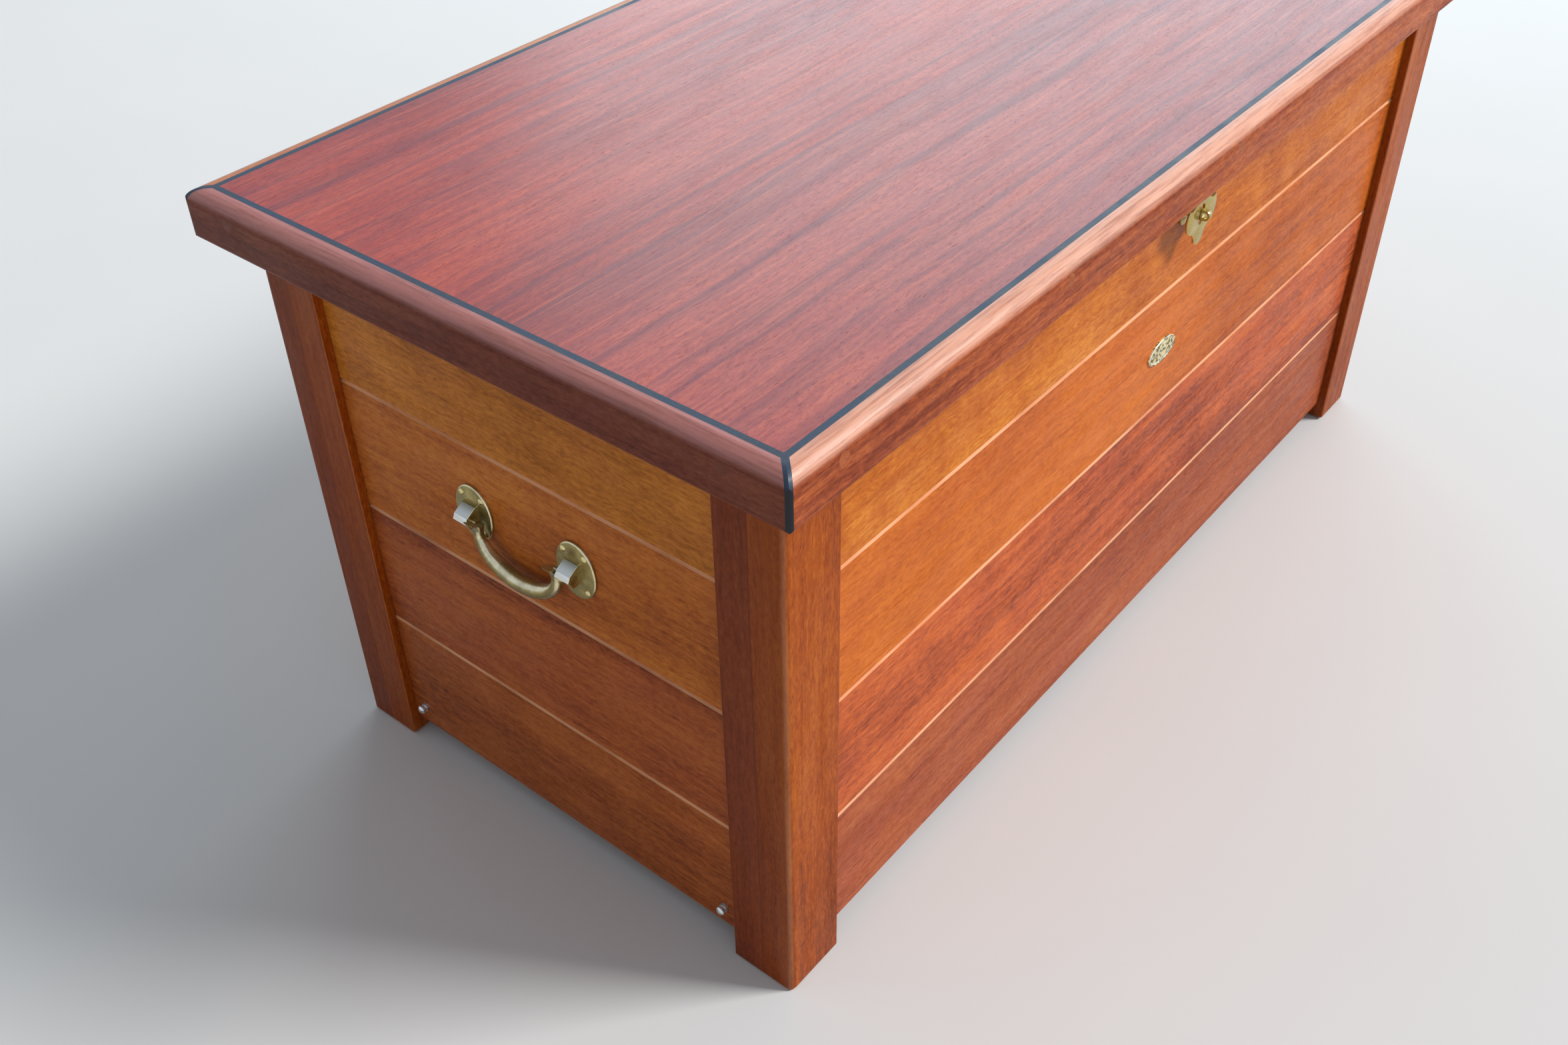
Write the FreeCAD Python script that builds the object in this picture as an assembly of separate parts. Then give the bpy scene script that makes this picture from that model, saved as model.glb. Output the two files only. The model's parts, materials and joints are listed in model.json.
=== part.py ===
"""Outdoor storage box: hardwood posts and boards, a capped lid, brass handles, hinge, hasp and lid stays.

Millimetres. +Z is up, +X runs along the box, -Y is the front. The origin is on the ground, under the middle.
"""
import FreeCAD, Part
import math
import os

V = FreeCAD.Vector

# Carcass: posts and boards
BODY_LENGTH = 1240.0
BODY_WIDTH = 604.0
POST_SIZE = 70.0
POST_CORNER_ROUND = 8.0
POST_EDGE_ROUND = 2.0
FOOT_CHAMFER = 4.0
FOOT_HEIGHT = 24.0
BOARD_HEIGHT = 148.0
BOARDS_PER_SIDE = 4
BOARD_THICKNESS = 20.0
BOARD_RECESS = 10.0
BOARD_SHOULDER_GAP = 0.4
BOARD_BEVEL = 2.1
TONGUE_HEIGHT = 8.0
TONGUE_THICKNESS = 6.0
TONGUE_CLEARANCE = 0.3
HOUSING_DEPTH = 12.0
HOUSING_CLEARANCE = 0.3

# Floor inside the box
BEARER_WIDTH = 40.0
BEARER_HEIGHT = 25.0
BEARER_RISE = 8.0
BEARER_END_INSET = 90.0
BEARERS = 3
FLOOR_THICKNESS = 18.0
FLOOR_BOARDS = 4
FLOOR_BOARD_GAP = 3.0
FLOOR_WALL_GAP = 0.8

# Lid frame, panel, sealant and stiffening battens
LID_OVERHANG = 36.0
LID_EDGE_HEIGHT = 47.0
LID_LAP = 16.0
LID_LAP_GAP = 2.0
LID_SEAT_GAP = 0.3
LID_TOP_ROUND = 14.0
LID_BOTTOM_ROUND = 5.0
LID_CORNER_ROUND = 6.0
LID_LEDGE = 58.0
LID_RIM_WIDTH = 17.5
LID_PANEL_THICKNESS = 16.0
LID_PANEL_GAP = 0.3
CAULK_WIDTH = 6.0
CAULK_DEPTH = 5.0
BATTEN_WIDTH = 60.0
BATTEN_THICKNESS = 20.0
BATTEN_END_INSET = 242.0
PLUG_RADIUS = 6.0
PLUG_DEPTH = 8.0
PLUG_DROP = 16.0
PLUG_END_INSET = 60.0
PLUGS_PER_LONG_SIDE = 5
PLUGS_PER_SHORT_SIDE = 2

# Continuous hinge along the back
HINGE_RAIL_HEIGHT = 70.0
HINGE_END_INSET = 10.0
HINGE_KNUCKLES = 27
HINGE_KNUCKLE_RADIUS = 4.0
HINGE_KNUCKLE_GAP = 0.4
HINGE_SURFACE_GAP = 0.3
HINGE_PIN_RADIUS = 1.9
HINGE_LEAF = 2.0
HINGE_LEAF_WIDTH = 27.0
HINGE_SCREWS = 9
LEAF_EDGE_INSET = 1.0
LID_OPEN_ANGLE = 95.0
PIN_CLEARANCE = 0.05

# Countersunk brass screws
SCREW_HEAD_RADIUS = 3.4
SCREW_SHANK_RADIUS = 1.7
SCREW_HEAD_HEIGHT = 1.7
SCREW_LENGTH = 14.0
SCREW_SLOT_WIDTH = 0.8
SCREW_SLOT_DEPTH = 0.6

# Hasp under the lid's front edge, and the staple that it hangs over
HASP_STAND_OFF = 18.0
HASP_WIDTH = 44.0
HASP_KNUCKLES = 5
HASP_KNUCKLE_RADIUS = 3.5
HASP_PIN_RADIUS = 1.6
HASP_LEAF = 2.0
HASP_SCREW_INSET = 7.0
HASP_THICKNESS = 2.5
HASP_NECK = 13.0
HASP_HORN = 26.0
HASP_BELLY = 29.0
HASP_STEP = 16.0
HASP_TIP = 8.0
HASP_LENGTH = 74.0
HASP_HORN_DROP = 30.0
HASP_WAIST_RISE = 22.0
HASP_STEP_RISE = 16.0
HASP_SLOT_RISE = 21.0
HASP_SLOT_SIDE_GAP = 2.0
HASP_SLOT_END_GAP = 5.5
STAPLE_WIDTH = 5.0
STAPLE_HEIGHT = 11.0
STAPLE_EYE_GAP = 1.0
STAPLE_BASE_WIDTH = 13.0
STAPLE_BASE_HEIGHT = 34.0
STAPLE_BASE = 2.5
STAPLE_SCREW_INSET = 7.0
PADLOCK_HOLE_RADIUS = 2.75

# Oval plate on the front, left bare
BOARDS_UNDER_BADGE = 2
BADGE_LENGTH = 54.0
BADGE_HEIGHT = 28.0
BADGE_THICKNESS = 1.6
BADGE_RIM = 1.8
BADGE_RIM_RISE = 0.8

# Drop handles on the two ends
BOARDS_UNDER_HANDLE = 2
HANDLE_SPACING = 128.0
PLATE_WIDTH = 47.0
PLATE_HEIGHT = 61.0
PLATE_THICKNESS = 3.0
PLATE_BEVEL = 1.0
HOOD_WIDTH = 17.0
HOOD_DEPTH = 17.0
HOOD_TOP = 13.0
HOOD_LEDGE = 6.6
HOOD_BROW = 6.6
HOOD_NOSE = 1.2
HOOD_CHIN = 8.0
HOOD_SLOPE = 2.6
HOOD_UNDERCUT = 5.0
HOOD_ROUND = 0.8
BAIL_PIVOT_OUT = 12.0
BAIL_TRUNNION_RADIUS = 4.0
BAIL_SIDE_GAP = 1.4
BAIL_DROP = 42.5
BAIL_LEG_DROP = 9.0
BAIL_END_RADIUS = 4.8
BAIL_MIDDLE_RADIUS = 8.2
BAIL_COLLAR_RADIUS = 12.0
BAIL_COLLAR_RISE = 8.2
BAIL_COLLAR_MIDDLE = 2.0
BAIL_COLLAR_LEAN = 28.0
BAIL_COLLAR_LIP = 0.8
BAIL_STATIONS = 13
NAIL_SIDE_INSET = 11.0
NAIL_END_INSET = 11.5
NAIL_HEAD_RADIUS = 3.2
NAIL_HEAD_HEIGHT = 1.8
NAIL_SHANK_RADIUS = 1.4
NAIL_LENGTH = 14.0

# Cover studs low on the two ends
STUD_EDGE_INSET = 19.0
STUD_RISE = 25.0
STUD_BASE_RADIUS = 4.8
STUD_NECK_RADIUS = 3.2
STUD_BASE_HEIGHT = 2.4
STUD_NECK_HEIGHT = 2.8
STUD_KNOB_HEIGHT = 4.4
STUD_KNOB_EDGE = 2.0
STUD_SHANK_RADIUS = 2.5
STUD_SHANK_LENGTH = 14.0

# Slotted lid stays at the two ends, inside
STAY_FLOOR_GAP = 100.0
STAY_REST_ANGLE = 20.0
STAY_TOP_GAP = 2.0
STAY_THICKNESS = 3.0
STAY_SIDE_GAP = 0.4
STAY_WIDTH = 18.0
STAY_RIVET_RADIUS = 3.0
STAY_STUD_RADIUS = 3.0
STAY_SLOT_CLEARANCE = 0.4
STAY_SLOT_LEAD = 4.0
STAY_HEAD_RADIUS = 6.5
STAY_HEAD_HEIGHT = 1.8
STAY_FLANGE_RADIUS = 9.0
STAY_FLANGE_HEIGHT = 2.0
STAY_SHANK_LENGTH = 12.0
BRACKET_LENGTH = 40.0
BRACKET_WIDTH = 22.0
BRACKET_THICKNESS = 3.0
BRACKET_WALL_GAP = 3.1

# Nearness that tells one edge of a piece from the others
PICK = 0.01

# Levels and faces worked out from the driving sizes
HALF_LENGTH = BODY_LENGTH / 2
HALF_WIDTH = BODY_WIDTH / 2
RIM_Z = FOOT_HEIGHT + BOARDS_PER_SIDE * BOARD_HEIGHT
END_FACE = HALF_LENGTH - BOARD_RECESS
SIDE_FACE = HALF_WIDTH - BOARD_RECESS
INNER_END = END_FACE - BOARD_THICKNESS
INNER_SIDE = SIDE_FACE - BOARD_THICKNESS
POST_INNER_X = HALF_LENGTH - POST_SIZE
POST_INNER_Y = HALF_WIDTH - POST_SIZE
LID_HALF_LENGTH = HALF_LENGTH + LID_OVERHANG
LID_HALF_WIDTH = HALF_WIDTH + LID_OVERHANG
LID_UNDERSIDE = RIM_Z - LID_LAP
LID_TOP = LID_UNDERSIDE + LID_EDGE_HEIGHT
LEDGE_UNDERSIDE = RIM_Z + LID_SEAT_GAP
LEDGE_TOP = LID_TOP - LID_PANEL_THICKNESS
LEDGE_REACH = LID_OVERHANG + LID_LEDGE
LEAF_EDGE = LID_HALF_WIDTH - LID_BOTTOM_ROUND - LEAF_EDGE_INSET
FLOOR_UNDERSIDE = FOOT_HEIGHT + BEARER_RISE + BEARER_HEIGHT
FLOOR_TOP = FLOOR_UNDERSIDE + FLOOR_THICKNESS
HINGE_LENGTH = 2 * (POST_INNER_X - HINGE_END_INSET)
HINGE_CLEAR = HINGE_KNUCKLE_RADIUS + HINGE_SURFACE_GAP
HINGE_Y = HALF_WIDTH + HINGE_CLEAR
HINGE_Z = LID_UNDERSIDE - HINGE_CLEAR
HASP_CLEAR = HASP_KNUCKLE_RADIUS + HINGE_SURFACE_GAP
HASP_Y = -SIDE_FACE - HASP_STAND_OFF
HASP_Z = LID_UNDERSIDE - HASP_CLEAR
HASP_SLOT_HEIGHT = STAPLE_HEIGHT + 2 * HASP_SLOT_END_GAP
HASP_SLOT_WIDTH = STAPLE_WIDTH + 2 * HASP_SLOT_SIDE_GAP
STAPLE_Z = HASP_Z - HASP_LENGTH + HASP_SLOT_RISE + HASP_SLOT_HEIGHT / 2
STAPLE_EYE_Y = HASP_Y - HASP_THICKNESS / 2 - STAPLE_EYE_GAP - PADLOCK_HOLE_RADIUS
BADGE_Z = FOOT_HEIGHT + (BOARDS_UNDER_BADGE + 0.5) * BOARD_HEIGHT
HANDLE_Z = FOOT_HEIGHT + (BOARDS_UNDER_HANDLE + 0.5) * BOARD_HEIGHT
BAIL_HALF_WIDTH = (HANDLE_SPACING - HOOD_WIDTH) / 2 - BAIL_END_RADIUS - BAIL_SIDE_GAP
STAY_WALL_GAP = BRACKET_WALL_GAP + BRACKET_THICKNESS + STAY_SIDE_GAP
STAY_PIVOT_Z = LEDGE_UNDERSIDE - BRACKET_THICKNESS - STAY_TOP_GAP - STAY_WIDTH / 2


def block(x0, x1, y0, y1, z0, z1):
    """Box between two corners."""
    return Part.makeBox(x1 - x0, y1 - y0, z1 - z0, V(x0, y0, z0))


def traced_face(place, start, *steps):
    """Face inside an outline; a step is (end,) for a line, or (middle, end) for an arc."""
    edges = []
    here = place(*start)
    for step in steps + ((start,),):
        there = place(*step[-1])
        if len(step) == 2:
            edges.append(Part.Arc(here, place(*step[0]), there).toShape())
        elif here.distanceToPoint(there) > Part.Precision.confusion():
            edges.append(Part.LineSegment(here, there).toShape())
        here = there
    return Part.Face(Part.Wire(edges))


def ellipse_face(center, along, semi_along, across, semi_across):
    """Flat oval with its two half-axes along the given directions."""
    if semi_along >= semi_across:
        curve = Part.Ellipse(center + along * semi_along, center + across * semi_across, center)
    else:
        curve = Part.Ellipse(center + across * semi_across, center + along * semi_along, center)
    return Part.Face(Part.Wire(curve.toShape()))


def placed(shape, at, direction):
    """Copy of a shape made along +Z, turned to a direction and moved to a point."""
    copy = shape.copy()
    copy.Placement = FreeCAD.Placement(at, FreeCAD.Rotation(V(0, 0, 1), direction))
    return copy


def turned(start, *steps):
    """Solid of revolution about +Z from an outline in radius and height."""
    face = traced_face(lambda radius, height: V(radius, 0, height), start, *steps)
    return face.revolve(V(0, 0, 0), V(0, 0, 1), 360)


def dome_middle(radius, rise, base):
    """Middle point of a dome's outline, from its rim at the base height to its crown on the axis."""
    sphere = (radius ** 2 + rise ** 2) / (2 * rise)
    half_angle = math.atan2(rise, radius)
    return sphere * math.sin(half_angle), base + rise - sphere * (1 - math.cos(half_angle))


def joined(shapes):
    """One solid from touching shapes."""
    return shapes[0].fuse(shapes[1:]).removeSplitter()


def upright_edges(shape, corners):
    """Vertical edges of a shape that stand on the given (x, y) corners."""
    found = []
    for edge in shape.Edges:
        middle = edge.CenterOfMass
        upright = abs(edge.tangentAt(edge.FirstParameter).z) > 1 - PICK
        if upright and any(math.hypot(middle.x - x, middle.y - y) < PICK for x, y in corners):
            found.append(edge)
    return found


def spread(count, span):
    """Evenly spaced places about zero, from -span / 2 to span / 2."""
    return [span * (index / (count - 1) - 0.5) for index in range(count)]


def keep(node, *solids):
    """Write one node."""
    shape = solids[0] if len(solids) == 1 else Part.makeCompound(list(solids))
    shape.exportStep(os.path.join("parts", node + ".step"))


def corner_post(side_x, side_y):
    """Two glued staves with housings for the boards of both walls."""
    x0, x1 = sorted((side_x * HALF_LENGTH, side_x * POST_INNER_X))
    y0, y1 = sorted((side_y * HALF_WIDTH, side_y * POST_INNER_Y))
    blank = block(x0, x1, y0, y1, 0, RIM_Z)
    foot = [edge for edge in blank.Edges if edge.BoundBox.ZMax < PICK]
    blank = blank.makeChamfer(FOOT_CHAMFER, foot)
    outer_x, outer_y = side_x * HALF_LENGTH, side_y * HALF_WIDTH
    blank = blank.makeFillet(POST_CORNER_ROUND, upright_edges(blank, [(outer_x, outer_y)]))
    shoulders = [(side_x * POST_INNER_X, outer_y), (outer_x, side_y * POST_INNER_Y)]
    blank = blank.makeFillet(POST_EDGE_ROUND, upright_edges(blank, shoulders))

    depth = HOUSING_DEPTH + HOUSING_CLEARANCE
    hx = sorted((side_x * POST_INNER_X, side_x * (POST_INNER_X + depth)))
    hy = sorted((side_y * (SIDE_FACE + HOUSING_CLEARANCE), side_y * (INNER_SIDE - HOUSING_CLEARANCE)))
    long_housing = block(*hx, *hy, FOOT_HEIGHT - HOUSING_CLEARANCE, RIM_Z)
    ex = sorted((side_x * (END_FACE + HOUSING_CLEARANCE), side_x * (INNER_END - HOUSING_CLEARANCE)))
    ey = sorted((side_y * POST_INNER_Y, side_y * (POST_INNER_Y + depth)))
    end_housing = block(*ex, *ey, FOOT_HEIGHT - HOUSING_CLEARANCE, RIM_Z)
    blank = blank.cut([long_housing, end_housing])

    middle = (y0 + y1) / 2
    return [blank.common(block(x0, x1, low, high, 0, RIM_Z)) for low, high in ((y0, middle), (middle, y1))]


def board_profile(place, row):
    """Tongue-and-groove section of one board; depth runs inwards from the outer face."""
    low = FOOT_HEIGHT + row * BOARD_HEIGHT
    top_row = row == BOARDS_PER_SIDE - 1
    high = low + BOARD_HEIGHT - (0 if top_row else BOARD_SHOULDER_GAP)
    tongue = ((BOARD_THICKNESS - TONGUE_THICKNESS) / 2, (BOARD_THICKNESS + TONGUE_THICKNESS) / 2)
    outline = [((0, high - BOARD_BEVEL),), ((BOARD_BEVEL, high),)]
    if not top_row:
        tip = high + TONGUE_HEIGHT
        outline += [((tongue[0], high),), ((tongue[0], tip),), ((tongue[1], tip),), ((tongue[1], high),)]
    outline += [((BOARD_THICKNESS, high),), ((BOARD_THICKNESS, low),)]
    if row > 0:
        groove = (tongue[0] - TONGUE_CLEARANCE, tongue[1] + TONGUE_CLEARANCE)
        root = low + TONGUE_HEIGHT - BOARD_SHOULDER_GAP + TONGUE_CLEARANCE
        outline += [((groove[1], low),), ((groove[1], root),), ((groove[0], root),), ((groove[0], low),)]
    outline += [((BOARD_BEVEL, low),)]
    return traced_face(place, (0, low + BOARD_BEVEL), *outline)


def long_board(side_y, row):
    """Front or back board, let into the posts at both ends."""
    reach = POST_INNER_X + HOUSING_DEPTH
    face = board_profile(lambda depth, z: V(-reach, side_y * (SIDE_FACE - depth), z), row)
    return face.extrude(V(2 * reach, 0, 0))


def end_board(side_x, row):
    """Left or right board, let into the posts at both ends."""
    reach = POST_INNER_Y + HOUSING_DEPTH
    face = board_profile(lambda depth, z: V(side_x * (END_FACE - depth), -reach, z), row)
    return face.extrude(V(0, 2 * reach, 0))


def floor_pieces():
    """Bearers across the box, and the boards that lie along it on them."""
    bearers = []
    for x in spread(BEARERS, 2 * (POST_INNER_X - BEARER_END_INSET)):
        half = BEARER_WIDTH / 2
        low = FLOOR_UNDERSIDE - BEARER_HEIGHT
        bearers.append(block(x - half, x + half, -INNER_SIDE, INNER_SIDE, low, FLOOR_UNDERSIDE))

    half_span = INNER_SIDE - FLOOR_WALL_GAP
    width = (2 * half_span - (FLOOR_BOARDS - 1) * FLOOR_BOARD_GAP) / FLOOR_BOARDS
    reach = INNER_END - FLOOR_WALL_GAP
    posts = []
    for side_x in (-1, 1):
        for side_y in (-1, 1):
            x0, x1 = sorted((side_x * (POST_INNER_X - FLOOR_WALL_GAP), side_x * HALF_LENGTH))
            y0, y1 = sorted((side_y * (POST_INNER_Y - FLOOR_WALL_GAP), side_y * HALF_WIDTH))
            posts.append(block(x0, x1, y0, y1, FLOOR_UNDERSIDE, FLOOR_TOP))
    boards = []
    for index in range(FLOOR_BOARDS):
        y = -half_span + index * (width + FLOOR_BOARD_GAP)
        board = block(-reach, reach, y, y + width, FLOOR_UNDERSIDE, FLOOR_TOP)
        boards.append(board.cut(posts))
    return bearers, boards


def lid_section(place):
    """Section of a lid frame member: rounded rim, lap over the box, ledge under the panel."""
    lap = LID_OVERHANG - LID_LAP_GAP
    top_round = min(LID_TOP_ROUND, LID_RIM_WIDTH)
    inside_arc = 1 - math.sqrt(0.5)
    top = top_round * inside_arc
    bottom = LID_BOTTOM_ROUND * inside_arc
    return traced_face(
        place,
        (LID_BOTTOM_ROUND, LID_UNDERSIDE),
        ((lap, LID_UNDERSIDE),),
        ((lap, LEDGE_UNDERSIDE),),
        ((LEDGE_REACH, LEDGE_UNDERSIDE),),
        ((LEDGE_REACH, LEDGE_TOP),),
        ((LID_RIM_WIDTH, LEDGE_TOP),),
        ((LID_RIM_WIDTH, LID_TOP),),
        ((top_round, LID_TOP),),
        ((top, LID_TOP - top), (0, LID_TOP - top_round)),
        ((0, LID_UNDERSIDE + LID_BOTTOM_ROUND),),
        ((bottom, LID_UNDERSIDE + bottom), (LID_BOTTOM_ROUND, LID_UNDERSIDE)),
    )


def lid_frame():
    """Four mitred members, with their corner edge eased, by name."""
    x, y = LID_HALF_LENGTH, LID_HALF_WIDTH
    sections = {
        "front": (lambda inset, z: V(-x, inset - y, z), V(2 * x, 0, 0)),
        "back": (lambda inset, z: V(-x, y - inset, z), V(2 * x, 0, 0)),
        "left": (lambda inset, z: V(inset - x, -y, z), V(0, 2 * y, 0)),
        "right": (lambda inset, z: V(x - inset, -y, z), V(0, 2 * y, 0)),
    }
    corners = {"front": ((-1, -1), (1, -1)), "back": ((-1, 1), (1, 1)), "left": ((-1, -1), (-1, 1)),
               "right": ((1, -1), (1, 1))}
    plan = block(-x, x, -y, y, LID_UNDERSIDE, LID_TOP)
    plan_corners = [(i * x, j * y) for i in (-1, 1) for j in (-1, 1)]
    plan = plan.makeFillet(LID_CORNER_ROUND, upright_edges(plan, plan_corners))
    members = {}
    for side, (place, run) in sections.items():
        (ai, aj), (bi, bj) = corners[side]
        inner = LEDGE_REACH
        mitre = traced_face(
            lambda px, py: V(px, py, LID_UNDERSIDE),
            (ai * x, aj * y),
            ((bi * x, bj * y),),
            ((bi * (x - inner), bj * (y - inner)),),
            ((ai * (x - inner), aj * (y - inner)),),
        ).extrude(V(0, 0, LID_EDGE_HEIGHT))
        members[side] = lid_section(place).extrude(run).common(mitre).common(plan)
    return members


def corner_seams():
    """Slots for sealant along the four mitres, a little deep all the way round the edge."""
    x, y = LID_HALF_LENGTH, LID_HALF_WIDTH
    core = block(CAULK_DEPTH - x, x - CAULK_DEPTH, CAULK_DEPTH - y, y - CAULK_DEPTH,
                 LID_UNDERSIDE, LID_TOP - CAULK_DEPTH)
    reach = math.sqrt(2) * (LID_RIM_WIDTH + CAULK_WIDTH / 2)
    slab = Part.makeBox(reach, CAULK_WIDTH, LID_EDGE_HEIGHT, V(0, -CAULK_WIDTH / 2, LID_UNDERSIDE))
    seams = []
    for i in (-1, 1):
        for j in (-1, 1):
            seam = slab.copy()
            inwards = math.degrees(math.atan2(-j, -i))
            seam.Placement = FreeCAD.Placement(V(i * x, j * y, 0), FreeCAD.Rotation(V(0, 0, 1), inwards))
            seams.append(seam.cut(core))
    return seams


def ring(inset, width, low, high):
    """Rectangular band inside the lid's edge."""
    x, y = LID_HALF_LENGTH - inset, LID_HALF_WIDTH - inset
    outer = block(-x, x, -y, y, low, high)
    return outer.cut(block(width - x, x - width, width - y, y - width, low, high))


def lid_panel():
    """Panel on the ledge, stepped round its top edge for the sealant."""
    inset = LID_RIM_WIDTH + LID_PANEL_GAP
    x, y = LID_HALF_LENGTH - inset, LID_HALF_WIDTH - inset
    panel = block(-x, x, -y, y, LEDGE_TOP, LID_TOP)
    return panel.cut(ring(LID_RIM_WIDTH, CAULK_WIDTH, LID_TOP - CAULK_DEPTH, LID_TOP))


def plug_holes():
    """Round plugs over the screws in the lid's edge, by side of the lid."""
    z = LID_TOP - PLUG_DROP
    x, y = LID_HALF_LENGTH, LID_HALF_WIDTH
    holes = {"front": [], "back": [], "left": [], "right": []}
    for across in spread(PLUGS_PER_LONG_SIDE, 2 * (x - PLUG_END_INSET)):
        holes["front"].append(Part.makeCylinder(PLUG_RADIUS, PLUG_DEPTH, V(across, -y, z), V(0, 1, 0)))
        holes["back"].append(Part.makeCylinder(PLUG_RADIUS, PLUG_DEPTH, V(across, y, z), V(0, -1, 0)))
    for across in spread(PLUGS_PER_SHORT_SIDE, 2 * (y - PLUG_END_INSET)):
        holes["left"].append(Part.makeCylinder(PLUG_RADIUS, PLUG_DEPTH, V(-x, across, z), V(1, 0, 0)))
        holes["right"].append(Part.makeCylinder(PLUG_RADIUS, PLUG_DEPTH, V(x, across, z), V(-1, 0, 0)))
    return holes


def lid_battens():
    """Stiffeners across the underside of the panel, between the ledges."""
    y = LID_HALF_WIDTH - LEDGE_REACH
    run = 2 * (LID_HALF_LENGTH - LEDGE_REACH - BATTEN_END_INSET)
    half = BATTEN_WIDTH / 2
    low = LEDGE_TOP - BATTEN_THICKNESS
    return [block(x - half, x + half, -y, y, low, LEDGE_TOP) for x in spread(2, run)]


def screw_blank():
    """Slotted countersunk screw, head outwards at the origin and shank along +Z."""
    head = Part.makeCone(SCREW_HEAD_RADIUS, SCREW_SHANK_RADIUS, SCREW_HEAD_HEIGHT)
    run = SCREW_LENGTH - SCREW_HEAD_HEIGHT
    shank = Part.makeCylinder(SCREW_SHANK_RADIUS, run, V(0, 0, SCREW_HEAD_HEIGHT))
    return joined([head, shank])


def slotted(screw):
    """Screw with the driver slot cut across its head."""
    half = SCREW_SLOT_WIDTH / 2
    slot = block(-SCREW_HEAD_RADIUS, SCREW_HEAD_RADIUS, -half, half, 0, SCREW_SLOT_DEPTH)
    return screw.cut(slot)


class Screws:
    """A row of like screws: the holes that they need, and the screws themselves."""

    def __init__(self, points, direction):
        blank = screw_blank()
        finished = slotted(blank)
        self.holes = [placed(blank, point, direction) for point in points]
        self.solids = [placed(finished, point, direction) for point in points]


def knuckles(count, length, which, radius, bore, y, z):
    """Alternate barrels of a hinge along X, their spans, and the bore; which is 0 or 1, for either leaf."""
    pitch = length / count
    solids = []
    spans = []
    for index in range(which, count, 2):
        x0 = -length / 2 + index * pitch + HINGE_KNUCKLE_GAP / 2
        run = pitch - HINGE_KNUCKLE_GAP
        solids.append(Part.makeCylinder(radius, run, V(x0, y, z), V(1, 0, 0)))
        spans.append((x0, x0 + run))
    hole = Part.makeCylinder(bore, length, V(-length / 2, y, z), V(1, 0, 0))
    return solids, spans, hole


def hinge_leaf(upright):
    """One leaf of the continuous hinge: upright on the box, or flat under the lid."""
    bore = HINGE_PIN_RADIUS + PIN_CLEARANCE
    barrels, spans, hole = knuckles(HINGE_KNUCKLES, HINGE_LENGTH, 0 if upright else 1,
                                    HINGE_KNUCKLE_RADIUS, bore, HINGE_Y, HINGE_Z)
    half = HINGE_LENGTH / 2
    if upright:
        face = (HALF_WIDTH, HALF_WIDTH + HINGE_LEAF)
        plate = block(-half, half, *face, HINGE_Z - HINGE_LEAF_WIDTH, HINGE_Z - HINGE_CLEAR)
        roots = [block(x0, x1, *face, HINGE_Z - HINGE_CLEAR, HINGE_Z) for x0, x1 in spans]
    else:
        face = (LID_UNDERSIDE - HINGE_LEAF, LID_UNDERSIDE)
        plate = block(-half, half, HINGE_Y + HINGE_CLEAR, LEAF_EDGE, *face)
        roots = [block(x0, x1, HINGE_Y, HINGE_Y + HINGE_CLEAR, *face) for x0, x1 in spans]
    return joined([plate] + roots + barrels).cut(hole)


def hinge_screws(upright):
    """Screws along the middle of a hinge leaf, heads flush with it."""
    places = spread(HINGE_SCREWS, HINGE_LENGTH - HINGE_LENGTH / HINGE_SCREWS)
    if upright:
        z = HINGE_Z - (HINGE_CLEAR + HINGE_LEAF_WIDTH) / 2
        return Screws([V(x, HALF_WIDTH + HINGE_LEAF, z) for x in places], V(0, -1, 0))
    y = (HINGE_Y + HINGE_CLEAR + LEAF_EDGE) / 2
    return Screws([V(x, y, LID_UNDERSIDE - HINGE_LEAF) for x in places], V(0, 0, 1))


def hinge_pin_rod():
    """Pin through all the barrels of the continuous hinge."""
    start = V(-HINGE_LENGTH / 2, HINGE_Y, HINGE_Z)
    return Part.makeCylinder(HINGE_PIN_RADIUS, HINGE_LENGTH, start, V(1, 0, 0))


def hasp_leaf():
    """Flat leaf under the lid's front edge that the hasp hangs from."""
    bore = HASP_PIN_RADIUS + PIN_CLEARANCE
    barrels, spans, hole = knuckles(HASP_KNUCKLES, HASP_WIDTH, 0, HASP_KNUCKLE_RADIUS, bore, HASP_Y, HASP_Z)
    half = HASP_WIDTH / 2
    face = (LID_UNDERSIDE - HASP_LEAF, LID_UNDERSIDE)
    plate = block(-half, half, -LEAF_EDGE, HASP_Y - HASP_CLEAR, *face)
    roots = [block(x0, x1, HASP_Y - HASP_CLEAR, HASP_Y, *face) for x0, x1 in spans]
    return joined([plate] + roots + barrels).cut(hole)


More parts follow.
